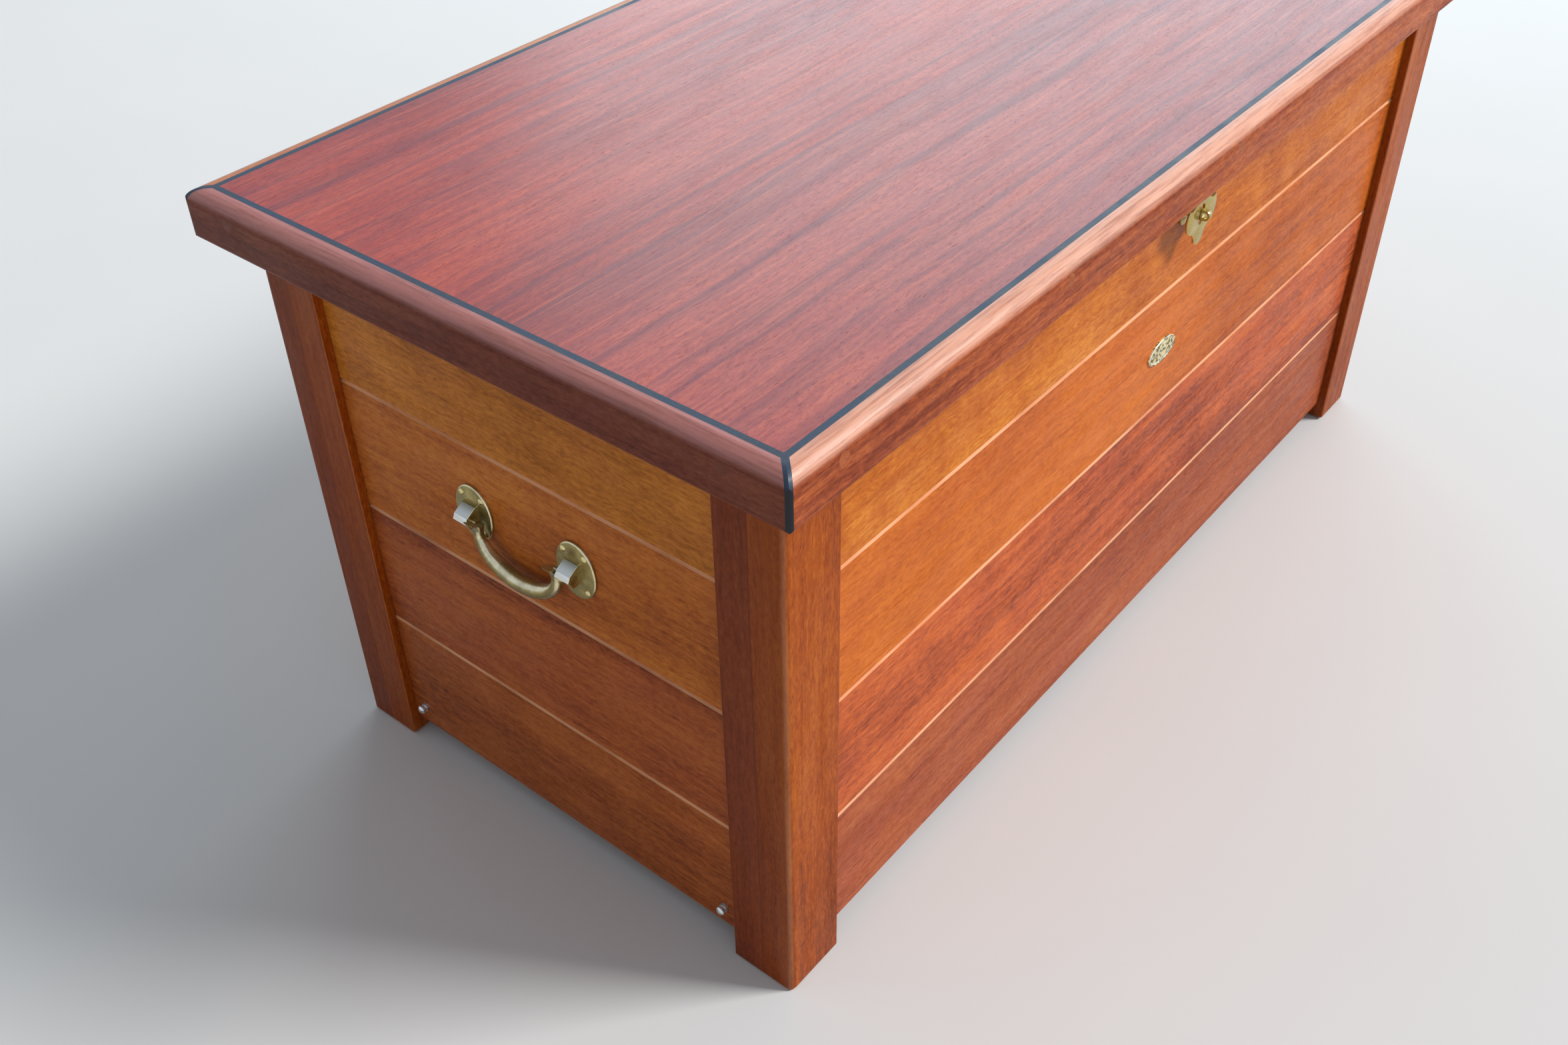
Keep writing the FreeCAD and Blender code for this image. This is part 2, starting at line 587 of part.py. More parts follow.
def hasp_plate():
    """Scalloped plate with a slot for the staple, hanging from its own two barrels."""
    bore = HASP_PIN_RADIUS + PIN_CLEARANCE
    barrels, spans, hole = knuckles(HASP_KNUCKLES, HASP_WIDTH, 1, HASP_KNUCKLE_RADIUS, bore, HASP_Y, HASP_Z)
    top = HASP_CLEAR
    back = HASP_Y + HASP_THICKNESS / 2
    horn, belly, step, tip = HASP_HORN, HASP_BELLY, HASP_STEP, HASP_TIP
    shoulder = HASP_HORN_DROP
    waist = HASP_LENGTH - HASP_WAIST_RISE
    low = HASP_LENGTH - HASP_STEP_RISE
    half = HASP_WIDTH / 2
    flare = (HASP_NECK + horn) / 2
    dip = (horn - HASP_NECK) / 4
    hip = (belly + step) / 2

    def side(sign):
        """Half of the scalloped edge, from the neck to the tip."""
        return [
            (sign * HASP_NECK, shoulder - dip),
            (sign * flare, shoulder + dip / 2),
            (sign * horn, shoulder),
            (sign * belly, (shoulder + waist) / 2),
            (sign * horn, waist),
            (sign * hip, waist + dip),
            (sign * step, low),
            (sign * (step + tip) / 2, low + dip),
            (sign * tip, HASP_LENGTH - tip / 2),
        ]

    right, left = side(1), side(-1)[::-1]
    face = traced_face(
        lambda across, drop: V(across, back, HASP_Z - drop),
        (half, top),
        ((half, 2 * top),),
        (right[0],),
        (right[1], right[2]),
        (right[3], right[4]),
        (right[5], right[6]),
        (right[7], right[8]),
        ((0, HASP_LENGTH), left[0]),
        (left[1], left[2]),
        (left[3], left[4]),
        (left[5], left[6]),
        (left[7], left[8]),
        ((-half, 2 * top),),
        ((-half, top),),
    )
    plate = face.extrude(V(0, -HASP_THICKNESS, 0))
    roots = [block(x0, x1, back - HASP_THICKNESS, back, HASP_Z - top, HASP_Z) for x0, x1 in spans]
    slot = slot_prism(V(0, back, STAPLE_Z), V(0, 0, 1), V(1, 0, 0), HASP_SLOT_HEIGHT, HASP_SLOT_WIDTH,
                      V(0, -HASP_THICKNESS, 0))
    return joined([plate] + roots + barrels).cut([hole, slot])


def slot_prism(center, along, across, length, width, depth):
    """Round-ended bar of a slot's shape."""
    flat = length / 2 - width / 2
    half = width / 2

    def place(a, b):
        """Point from distances along and across the slot."""
        return center + along * a + across * b

    face = traced_face(place, (-flat, -half), ((flat, -half),), ((flat + half, 0), (flat, half)),
                       ((-flat, half),), ((-flat - half, 0), (-flat, -half)))
    return face.extrude(depth)


def hasp_pin_rod():
    """Pin through the hasp's barrels."""
    start = V(-HASP_WIDTH / 2, HASP_Y, HASP_Z)
    return Part.makeCylinder(HASP_PIN_RADIUS, HASP_WIDTH, start, V(1, 0, 0))


def hasp_leaf_screws():
    """Screws through the hasp's leaf into the lid's edge."""
    y = (HASP_Y - HASP_CLEAR - LEAF_EDGE) / 2
    places = spread(2, HASP_WIDTH - 2 * HASP_SCREW_INSET)
    points = [V(x, y, LID_UNDERSIDE - HASP_LEAF) for x in places]
    return Screws(points, V(0, 0, 1))


def staple():
    """Base plate on the front board, with an eye for a padlock that stands through the hasp."""
    face = -SIDE_FACE
    base = slot_prism(V(0, face, STAPLE_Z), V(0, 0, 1), V(1, 0, 0), STAPLE_BASE_HEIGHT, STAPLE_BASE_WIDTH,
                      V(0, -STAPLE_BASE, 0))
    half = STAPLE_HEIGHT / 2
    eye = traced_face(
        lambda y, z: V(-STAPLE_WIDTH / 2, y, z),
        (face - STAPLE_BASE, STAPLE_Z - half),
        ((STAPLE_EYE_Y, STAPLE_Z - half),),
        ((STAPLE_EYE_Y - half, STAPLE_Z), (STAPLE_EYE_Y, STAPLE_Z + half)),
        ((face - STAPLE_BASE, STAPLE_Z + half),),
    ).extrude(V(STAPLE_WIDTH, 0, 0))
    center = V(-STAPLE_WIDTH / 2, STAPLE_EYE_Y, STAPLE_Z)
    hole = Part.makeCylinder(PADLOCK_HOLE_RADIUS, STAPLE_WIDTH, center, V(1, 0, 0))
    return joined([base, eye]).cut(hole)


def staple_screws():
    """Two screws through the staple's base."""
    y = -SIDE_FACE - STAPLE_BASE
    places = spread(2, STAPLE_BASE_HEIGHT - 2 * STAPLE_SCREW_INSET)
    return Screws([V(0, y, STAPLE_Z + z) for z in places], V(0, 1, 0))


def badge():
    """Bare oval plate with a raised rim."""
    center = V(0, -SIDE_FACE, BADGE_Z)
    x, z = V(1, 0, 0), V(0, 0, 1)
    a, b = BADGE_LENGTH / 2, BADGE_HEIGHT / 2
    rise = BADGE_THICKNESS + BADGE_RIM_RISE
    outer = ellipse_face(center, x, a, z, b).extrude(V(0, -rise, 0))
    field = ellipse_face(center - V(0, BADGE_THICKNESS, 0), x, a - BADGE_RIM, z, b - BADGE_RIM)
    return outer.cut(field.extrude(V(0, -BADGE_RIM_RISE, 0)))


def handle_plate(side_x, y):
    """Oval back plate and faceted hood of one handle bearing, cast in one piece."""
    out = V(side_x, 0, 0)
    foot = V(side_x * END_FACE, y, HANDLE_Z)
    oval = ellipse_face(foot, V(0, 1, 0), PLATE_WIDTH / 2, V(0, 0, 1), PLATE_HEIGHT / 2)
    plate = oval.extrude(out * PLATE_THICKNESS)
    front = side_x * (END_FACE + PLATE_THICKNESS)
    rim = [edge for edge in plate.Edges if abs(edge.CenterOfMass.x - front) < PICK]
    plate = plate.makeChamfer(PLATE_BEVEL, rim)
    reach = HOOD_DEPTH + PLATE_THICKNESS
    hood = traced_face(
        lambda depth, rise: foot + out * depth + V(0, -HOOD_WIDTH / 2, rise),
        (0, HOOD_TOP),
        ((HOOD_LEDGE, HOOD_TOP),),
        ((reach - HOOD_SLOPE, HOOD_BROW),),
        ((reach, HOOD_NOSE),),
        ((reach - HOOD_UNDERCUT, -HOOD_CHIN),),
        ((0, -HOOD_CHIN),),
    ).extrude(V(0, HOOD_WIDTH, 0))
    crest = [edge for edge in hood.Edges if abs(edge.CenterOfMass.x - foot.x) > PLATE_THICKNESS]
    hood = hood.makeFillet(HOOD_ROUND, crest)
    axis = foot + out * BAIL_PIVOT_OUT - V(0, PLATE_WIDTH, 0)
    bore = Part.makeCylinder(BAIL_TRUNNION_RADIUS + PIN_CLEARANCE, 2 * PLATE_WIDTH, axis, V(0, 1, 0))
    return joined([plate, hood]).cut(bore)


def handle_nails(side_x):
    """Domed nails, four in each plate of one handle."""
    head, rise, shank = NAIL_HEAD_RADIUS, NAIL_HEAD_HEIGHT, NAIL_SHANK_RADIUS
    crown = dome_middle(head, rise, 0)
    nail = turned(
        (0, -NAIL_LENGTH),
        ((shank, -NAIL_LENGTH),),
        ((shank, 0),),
        ((head, 0),),
        (crown, (0, rise)),
    )
    nails = []
    for y in spread(2, HANDLE_SPACING):
        for across in spread(2, PLATE_WIDTH - 2 * NAIL_SIDE_INSET):
            for up in spread(2, PLATE_HEIGHT - 2 * NAIL_END_INSET):
                seat = V(side_x * (END_FACE + PLATE_THICKNESS), y + across, HANDLE_Z + up)
                nails.append(placed(nail, seat, V(side_x, 0, 0)))
    return nails


def bail(side_x):
    """Drop handle: swelling bow, flared collars with leaning brims, and trunnions that turn in the hoods."""
    pivot = V(side_x * (END_FACE + BAIL_PIVOT_OUT), 0, HANDLE_Z)
    half = BAIL_HALF_WIDTH
    sweep = BAIL_DROP - BAIL_LEG_DROP
    rings = []
    for index in range(BAIL_STATIONS):
        turn = math.pi * index / (BAIL_STATIONS - 1)
        radius = BAIL_END_RADIUS + (BAIL_MIDDLE_RADIUS - BAIL_END_RADIUS) * math.sin(turn)
        center = pivot + V(0, half * math.cos(turn), -BAIL_LEG_DROP - sweep * math.sin(turn))
        tangent = V(0, -half * math.sin(turn), -sweep * math.cos(turn))
        rings.append(Part.Wire(Part.makeCircle(radius, center, tangent)))
    bow = Part.makeLoft(rings, True, False)

    rim = BAIL_COLLAR_RISE - BAIL_COLLAR_LIP
    collar = turned(
        (0, -BAIL_LEG_DROP - BAIL_COLLAR_LIP),
        ((BAIL_END_RADIUS, -BAIL_LEG_DROP - BAIL_COLLAR_LIP),),
        ((BAIL_END_RADIUS, -BAIL_LEG_DROP),),
        ((BAIL_END_RADIUS + BAIL_COLLAR_LIP, -BAIL_LEG_DROP / 3), (BAIL_COLLAR_RADIUS, rim)),
        ((BAIL_COLLAR_RADIUS, BAIL_COLLAR_RISE),),
        ((0, BAIL_COLLAR_RISE),),
    )
    reach = BAIL_COLLAR_RADIUS
    hood_side = block(-reach, reach, -reach, reach, -reach, reach)
    over_brim = block(-2 * reach, 2 * reach, -2 * reach, 2 * reach, 0, 2 * reach)
    lean = math.radians(BAIL_COLLAR_LEAN)
    brim_up = V(-side_x * math.sin(lean), 0, math.cos(lean))
    solids = [bow]
    trunnion_end = (HANDLE_SPACING + HOOD_WIDTH) / 2
    for side_y in (-1, 1):
        leg = pivot + V(0, side_y * half, 0)
        flat = placed(hood_side, leg, V(0, 0, 1))
        flat.translate(V(0, side_y * (BAIL_END_RADIUS + BAIL_COLLAR_RADIUS), 0))
        waste = placed(over_brim, leg + V(0, 0, BAIL_COLLAR_MIDDLE), brim_up)
        solids.append(placed(collar, leg, V(0, 0, 1)).cut([flat, waste]))
        solids.append(Part.makeCylinder(BAIL_TRUNNION_RADIUS, trunnion_end - half, leg, V(0, side_y, 0)))
    return joined(solids)


def cover_studs(side_x):
    """Grooved studs that hold the loops of a cover, low on one end."""
    neck_top = STUD_BASE_HEIGHT + STUD_NECK_HEIGHT
    cap = STUD_KNOB_HEIGHT - STUD_KNOB_EDGE
    crown = dome_middle(STUD_BASE_RADIUS, cap, neck_top + STUD_KNOB_EDGE)
    stud = turned(
        (0, -STUD_SHANK_LENGTH),
        ((STUD_SHANK_RADIUS, -STUD_SHANK_LENGTH),),
        ((STUD_SHANK_RADIUS, 0),),
        ((STUD_BASE_RADIUS, 0),),
        ((STUD_BASE_RADIUS, STUD_BASE_HEIGHT),),
        ((STUD_NECK_RADIUS, STUD_BASE_HEIGHT),),
        ((STUD_NECK_RADIUS, neck_top),),
        ((STUD_BASE_RADIUS, neck_top),),
        ((STUD_BASE_RADIUS, neck_top + STUD_KNOB_EDGE),),
        (crown, (0, neck_top + STUD_KNOB_HEIGHT)),
    )
    z = FOOT_HEIGHT + STUD_RISE
    y = POST_INNER_Y - STUD_EDGE_INSET
    return [placed(stud, V(side_x * END_FACE, side_y * y, z), V(side_x, 0, 0)) for side_y in (-1, 1)]


class Stay:
    """Slotted stay at one end: the lid's bracket, the sliding arm and the stud on the wall.

    The bracket's pivot and the stud are equally far from the hinge axis, so the arm turns by half the lid's
    angle. That distance is as large as the room for the arm above the floor allows.
    """

    def __init__(self, side_x):
        self.side = side_x
        half_rest = math.radians(STAY_REST_ANGLE) / 2
        half_open = math.radians(STAY_REST_ANGLE + LID_OPEN_ANGLE) / 2
        self.tail = STAY_STUD_RADIUS + STAY_SLOT_CLEARANCE + STAY_WIDTH / 2
        room = (STAY_PIVOT_Z - FLOOR_TOP - STAY_FLOOR_GAP) / math.cos(half_rest)
        radius = (room - self.tail) / (2 * math.sin(half_open))
        tilt = math.asin((STAY_PIVOT_Z - HINGE_Z) / radius)
        fall = 2 * half_rest - tilt
        self.pivot = V(0, HINGE_Y - radius * math.cos(tilt), STAY_PIVOT_Z)
        self.stud = V(0, HINGE_Y - radius * math.cos(fall), HINGE_Z - radius * math.sin(fall))
        self.closed = 2 * radius * math.sin(half_rest)
        self.opened = 2 * radius * math.sin(half_open)
        self.run = (self.stud - self.pivot).normalize()
        self.arm_face = INNER_END - STAY_WALL_GAP

    def at(self, depth, point):
        """Point of the stay's plane at a distance from the box's middle."""
        return V(self.side * depth, point.y, point.z)

    def arm(self):
        """Flat bar with a pivot hole, and a slot as long as the stud's travel."""
        across = V(0, -self.run.z, self.run.y)
        half = STAY_WIDTH / 2
        first = self.closed - STAY_STUD_RADIUS - STAY_SLOT_LEAD
        end = self.opened + self.tail
        last = end - half
        inwards = V(-self.side * STAY_THICKNESS, 0, 0)
        center = self.at(self.arm_face, self.pivot) + self.run * ((end - half) / 2)
        bar = slot_prism(center, self.run, across, end + half, STAY_WIDTH, inwards)
        slot_width = 2 * (STAY_STUD_RADIUS + STAY_SLOT_CLEARANCE)
        slot_center = self.at(self.arm_face, self.pivot) + self.run * ((first + last) / 2)
        slot = slot_prism(slot_center, self.run, across, last - first, slot_width, inwards)
        hole = Part.makeCylinder(STAY_RIVET_RADIUS + PIN_CLEARANCE, STAY_THICKNESS,
                                 self.at(self.arm_face, self.pivot), V(-self.side, 0, 0))
        return bar.cut([slot, hole])

    def bracket(self):
        """Plate under the lid's ledge, a tab beside the arm, and the rivet that the arm turns on."""
        outer = self.arm_face + STAY_SIDE_GAP + BRACKET_THICKNESS
        inner = outer - BRACKET_WIDTH
        half = BRACKET_LENGTH / 2
        x0, x1 = sorted((self.side * inner, self.side * outer))
        plate = block(x0, x1, self.pivot.y - half, self.pivot.y + half,
                      LEDGE_UNDERSIDE - BRACKET_THICKNESS, LEDGE_UNDERSIDE)
        t0, t1 = sorted((self.side * (outer - BRACKET_THICKNESS), self.side * outer))
        wide = STAY_WIDTH / 2
        tab = block(t0, t1, self.pivot.y - wide, self.pivot.y + wide, self.pivot.z - wide, LEDGE_UNDERSIDE)
        shank_length = BRACKET_THICKNESS + 2 * STAY_SIDE_GAP + STAY_THICKNESS
        inwards = V(-self.side, 0, 0)
        shank = Part.makeCylinder(STAY_RIVET_RADIUS, shank_length, self.at(outer, self.pivot), inwards)
        head = Part.makeCylinder(STAY_HEAD_RADIUS, STAY_HEAD_HEIGHT,
                                 self.at(outer - shank_length, self.pivot), inwards)
        return joined([plate, tab, shank, head])

    def wall_stud(self):
        """Flanged stud on the end board, with a head that keeps the arm on it."""
        arm_inner = STAY_WALL_GAP + STAY_THICKNESS + STAY_SIDE_GAP
        top = arm_inner + STAY_HEAD_HEIGHT
        stud = turned(
            (0, -STAY_SHANK_LENGTH),
            ((STAY_STUD_RADIUS, -STAY_SHANK_LENGTH),),
            ((STAY_STUD_RADIUS, 0),),
            ((STAY_FLANGE_RADIUS, 0),),
            ((STAY_FLANGE_RADIUS, STAY_FLANGE_HEIGHT),),
            ((STAY_HEAD_RADIUS, STAY_FLANGE_HEIGHT),),
            ((STAY_HEAD_RADIUS, STAY_WALL_GAP - STAY_SIDE_GAP),),
            ((STAY_STUD_RADIUS, STAY_WALL_GAP - STAY_SIDE_GAP),),
            ((STAY_STUD_RADIUS, arm_inner),),
            ((STAY_HEAD_RADIUS, arm_inner),),
            ((STAY_HEAD_RADIUS, top),),
            ((0, top),),
        )
        return placed(stud, self.at(INNER_END, self.stud), V(-self.side, 0, 0))


def build():
    """Make every piece, cut the holes that fastenings need, and write the nodes."""
    os.makedirs("parts", exist_ok=True)
    ends = {"left": -1, "right": 1}
    sides = {"front": -1, "back": 1}

    for end, side_x in ends.items():
        for side, side_y in sides.items():
            keep(f"post_{side}_{end}", *corner_post(side_x, side_y))

    rail = block(-POST_INNER_X, POST_INNER_X, SIDE_FACE, HALF_WIDTH, RIM_Z - HINGE_RAIL_HEIGHT, RIM_Z)
    box_screws = hinge_screws(True)
    catch_screws = staple_screws()
    stays = {end: Stay(side_x) for end, side_x in ends.items()}
    wall_studs = {end: stay.wall_stud() for end, stay in stays.items()}
    studs = {end: cover_studs(side_x) for end, side_x in ends.items()}
    nails = {end: handle_nails(side_x) for end, side_x in ends.items()}

    for row in range(BOARDS_PER_SIDE):
        keep(f"board_front_{row + 1}", long_board(-1, row).cut(catch_screws.holes))
        keep(f"board_back_{row + 1}", long_board(1, row).cut(box_screws.holes))
        for end, side_x in ends.items():
            fastenings = nails[end] + studs[end] + [wall_studs[end]]
            keep(f"board_{end}_{row + 1}", end_board(side_x, row).cut(fastenings))

    bearers, floor = floor_pieces()
    for index, bearer in enumerate(bearers):
        keep(f"floor_bearer_{index + 1}", bearer)
    for index, board in enumerate(floor):
        keep(f"floor_board_{index + 1}", board)

    keep("hinge_rail", rail.cut(box_screws.holes))
    keep("hinge_box_leaf", hinge_leaf(True).cut(box_screws.holes))
    keep("hinge_pin", hinge_pin_rod())
    keep("hinge_box_screws", *box_screws.solids)
    keep("staple", staple().cut(catch_screws.holes))
    keep("staple_screws", *catch_screws.solids)
    keep("oval_plate", badge())
    keep("cover_studs", *studs["left"], *studs["right"])
    keep("stay_studs", *wall_studs.values())

    for end, side_x in ends.items():
        for side, y in zip(sides, spread(2, HANDLE_SPACING)):
            keep(f"handle_plate_{end}_{side}", handle_plate(side_x, y).cut(nails[end]))
        keep(f"handle_bail_{end}", bail(side_x))
    keep("handle_nails", *nails["left"], *nails["right"])

    members = lid_frame()
    seams = corner_seams()
    holes = plug_holes()
    lid_screws = hinge_screws(False)
    leaf_screws = hasp_leaf_screws()
    caulk = [ring(LID_RIM_WIDTH, CAULK_WIDTH, LID_TOP - CAULK_DEPTH, LID_TOP)]
    plugs = []
    for side, member in members.items():
        caulk += [seam.common(member) for seam in seams]
        member = member.cut(seams)
        plugs += [hole.common(member) for hole in holes[side]]
        keep(f"lid_frame_{side}", member.cut(holes[side] + lid_screws.holes + leaf_screws.holes))
    keep("lid_caulk", joined([shape for shape in caulk if shape.Volume > 0]))
    keep("lid_plugs", *[solid for plug in plugs for solid in plug.Solids])
    keep("lid_panel", lid_panel())
    for end, batten in zip(ends, lid_battens()):
        keep(f"lid_batten_{end}", batten)
    keep("hinge_lid_leaf", hinge_leaf(False).cut(lid_screws.holes))
    keep("hasp_leaf", hasp_leaf().cut(leaf_screws.holes))
    keep("hasp_pin", hasp_pin_rod())
    keep("hasp_plate", hasp_plate())
    keep("lid_screws", *lid_screws.solids, *leaf_screws.solids)
    keep("stay_brackets", *[stay.bracket() for stay in stays.values()])
    for end, stay in stays.items():
        keep(f"stay_arm_{end}", stay.arm())


build()
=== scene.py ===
"""Looks of the outdoor storage box: varnished hardwood, black sealant, aged brass and stainless steel.

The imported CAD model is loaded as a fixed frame. Each sub-assembly is a class that dresses its own nodes,
and some of them build rounded pieces that stand for the sharp-edged metal ones.
"""

import json
import logging
import math
from dataclasses import dataclass
from enum import Enum
from typing import Dict, Iterable, List, Optional, Sequence, Tuple, Union

import bmesh
import bpy
from mathutils import Matrix, Vector

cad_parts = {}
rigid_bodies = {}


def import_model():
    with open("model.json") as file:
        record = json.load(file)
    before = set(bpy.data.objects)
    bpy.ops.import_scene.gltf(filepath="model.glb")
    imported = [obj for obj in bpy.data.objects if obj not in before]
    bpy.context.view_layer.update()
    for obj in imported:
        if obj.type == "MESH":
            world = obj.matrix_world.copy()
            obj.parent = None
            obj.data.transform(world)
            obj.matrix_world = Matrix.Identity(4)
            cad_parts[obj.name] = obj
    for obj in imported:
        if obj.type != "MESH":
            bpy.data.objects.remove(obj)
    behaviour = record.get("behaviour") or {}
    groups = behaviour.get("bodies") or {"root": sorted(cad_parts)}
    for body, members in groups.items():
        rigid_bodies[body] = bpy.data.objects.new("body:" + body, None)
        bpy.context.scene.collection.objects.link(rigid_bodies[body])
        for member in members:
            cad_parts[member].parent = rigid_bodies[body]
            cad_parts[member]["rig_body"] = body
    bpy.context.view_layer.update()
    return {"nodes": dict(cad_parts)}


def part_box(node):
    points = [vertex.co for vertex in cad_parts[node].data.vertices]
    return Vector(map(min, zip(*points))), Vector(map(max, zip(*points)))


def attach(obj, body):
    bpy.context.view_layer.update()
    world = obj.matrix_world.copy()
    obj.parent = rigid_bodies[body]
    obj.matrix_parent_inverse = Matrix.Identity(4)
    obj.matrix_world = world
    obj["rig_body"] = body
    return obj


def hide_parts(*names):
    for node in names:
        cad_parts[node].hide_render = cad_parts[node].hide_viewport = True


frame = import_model()

log = logging.getLogger("storage_box")

MM = 0.001
MIDDLE = 0.5  # mean of a noise

# Numbers of the Mix node's sockets for colours, whose names aren't unique
MIX_SHARE, MIX_FIRST, MIX_SECOND, MIX_RESULT = 0, 6, 7, 2

# How far a normal leans from the box's axes on an edge, and how far up it points on a top
EDGE_RISE = (0.03, 0.22)
UPWARD_RISE = (0.25, 0.65)

# Rounding of sharp edges
MERGE_DISTANCE = 0.001 * MM
FLAT_ANGLE = math.radians(0.4)
SHARP_ANGLE = math.radians(35)
CREASE_ANGLE = math.radians(38)
BEVEL_STEPS = 2
BEVEL_PROFILE = 0.5

Tone = Tuple[int, int, int]
Tones = Tuple[Tone, Tone, Tone, Tone]
Colour = Tuple[float, float, float, float]
Triple = Tuple[float, float, float]
Rise = Tuple[float, float]
Value = Union["Wire", float]
Socketed = Union["Wire", float, Sequence[float]]


def linear(tone: Tone) -> Colour:
    """Linear colour of a tone.

    Args:
        tone: sRGB values of 0 to 255.

    Returns:
        The colour.
    """
    parts = [part / 255 for part in tone]
    red, green, blue = [p / 12.92 if p <= 0.04045 else ((p + 0.055) / 1.055) ** 2.4 for p in parts]
    return red, green, blue, 1.0


class Grain(Enum):
    """Direction that the fibres of a piece of wood, or the scratches of a piece of metal, run in."""

    ALONG_X = 0
    ALONG_Y = 1
    ALONG_Z = 2

    def stretch(self, along: float, across: float) -> Triple:
        """Vector that differs along the fibres.

        Args:
            along: its value along the fibres.
            across: its value in the two other directions.

        Returns:
            The vector.
        """
        scale = [across] * 3
        scale[self.value] = along
        return scale[0], scale[1], scale[2]


@dataclass(frozen=True)
class Layer:
    """Layer of noise: its scales per metre along and across the fibres, its octaves and their roughness.

    Used as a mask, it goes from 0 to 1 over its rise.
    """

    along: float
    across: float
    detail: float
    rough: float
    rise: Rise = (0.0, 1.0)


class Wire:
    """Output socket of a node, whose operators add Math nodes."""

    def __init__(self, graph: "Graph", socket: bpy.types.NodeSocket) -> None:
        """Keeps the socket and the graph that it belongs to."""
        self.graph = graph
        self.socket = socket

    def __add__(self, other: Value) -> "Wire":
        """This value plus another."""
        return self.graph.maths("ADD", self, other)

    def __sub__(self, other: Value) -> "Wire":
        """This value minus another."""
        return self.graph.maths("SUBTRACT", self, other)

    def __rsub__(self, other: Value) -> "Wire":
        """Another value minus this one."""
        return self.graph.maths("SUBTRACT", other, self)

    def __mul__(self, other: Value) -> "Wire":
        """This value times another."""
        return self.graph.maths("MULTIPLY", self, other)

    def __abs__(self) -> "Wire":
        """This value without its sign."""
        return self.graph.maths("ABSOLUTE", self)

    __radd__ = __add__
    __rmul__ = __mul__


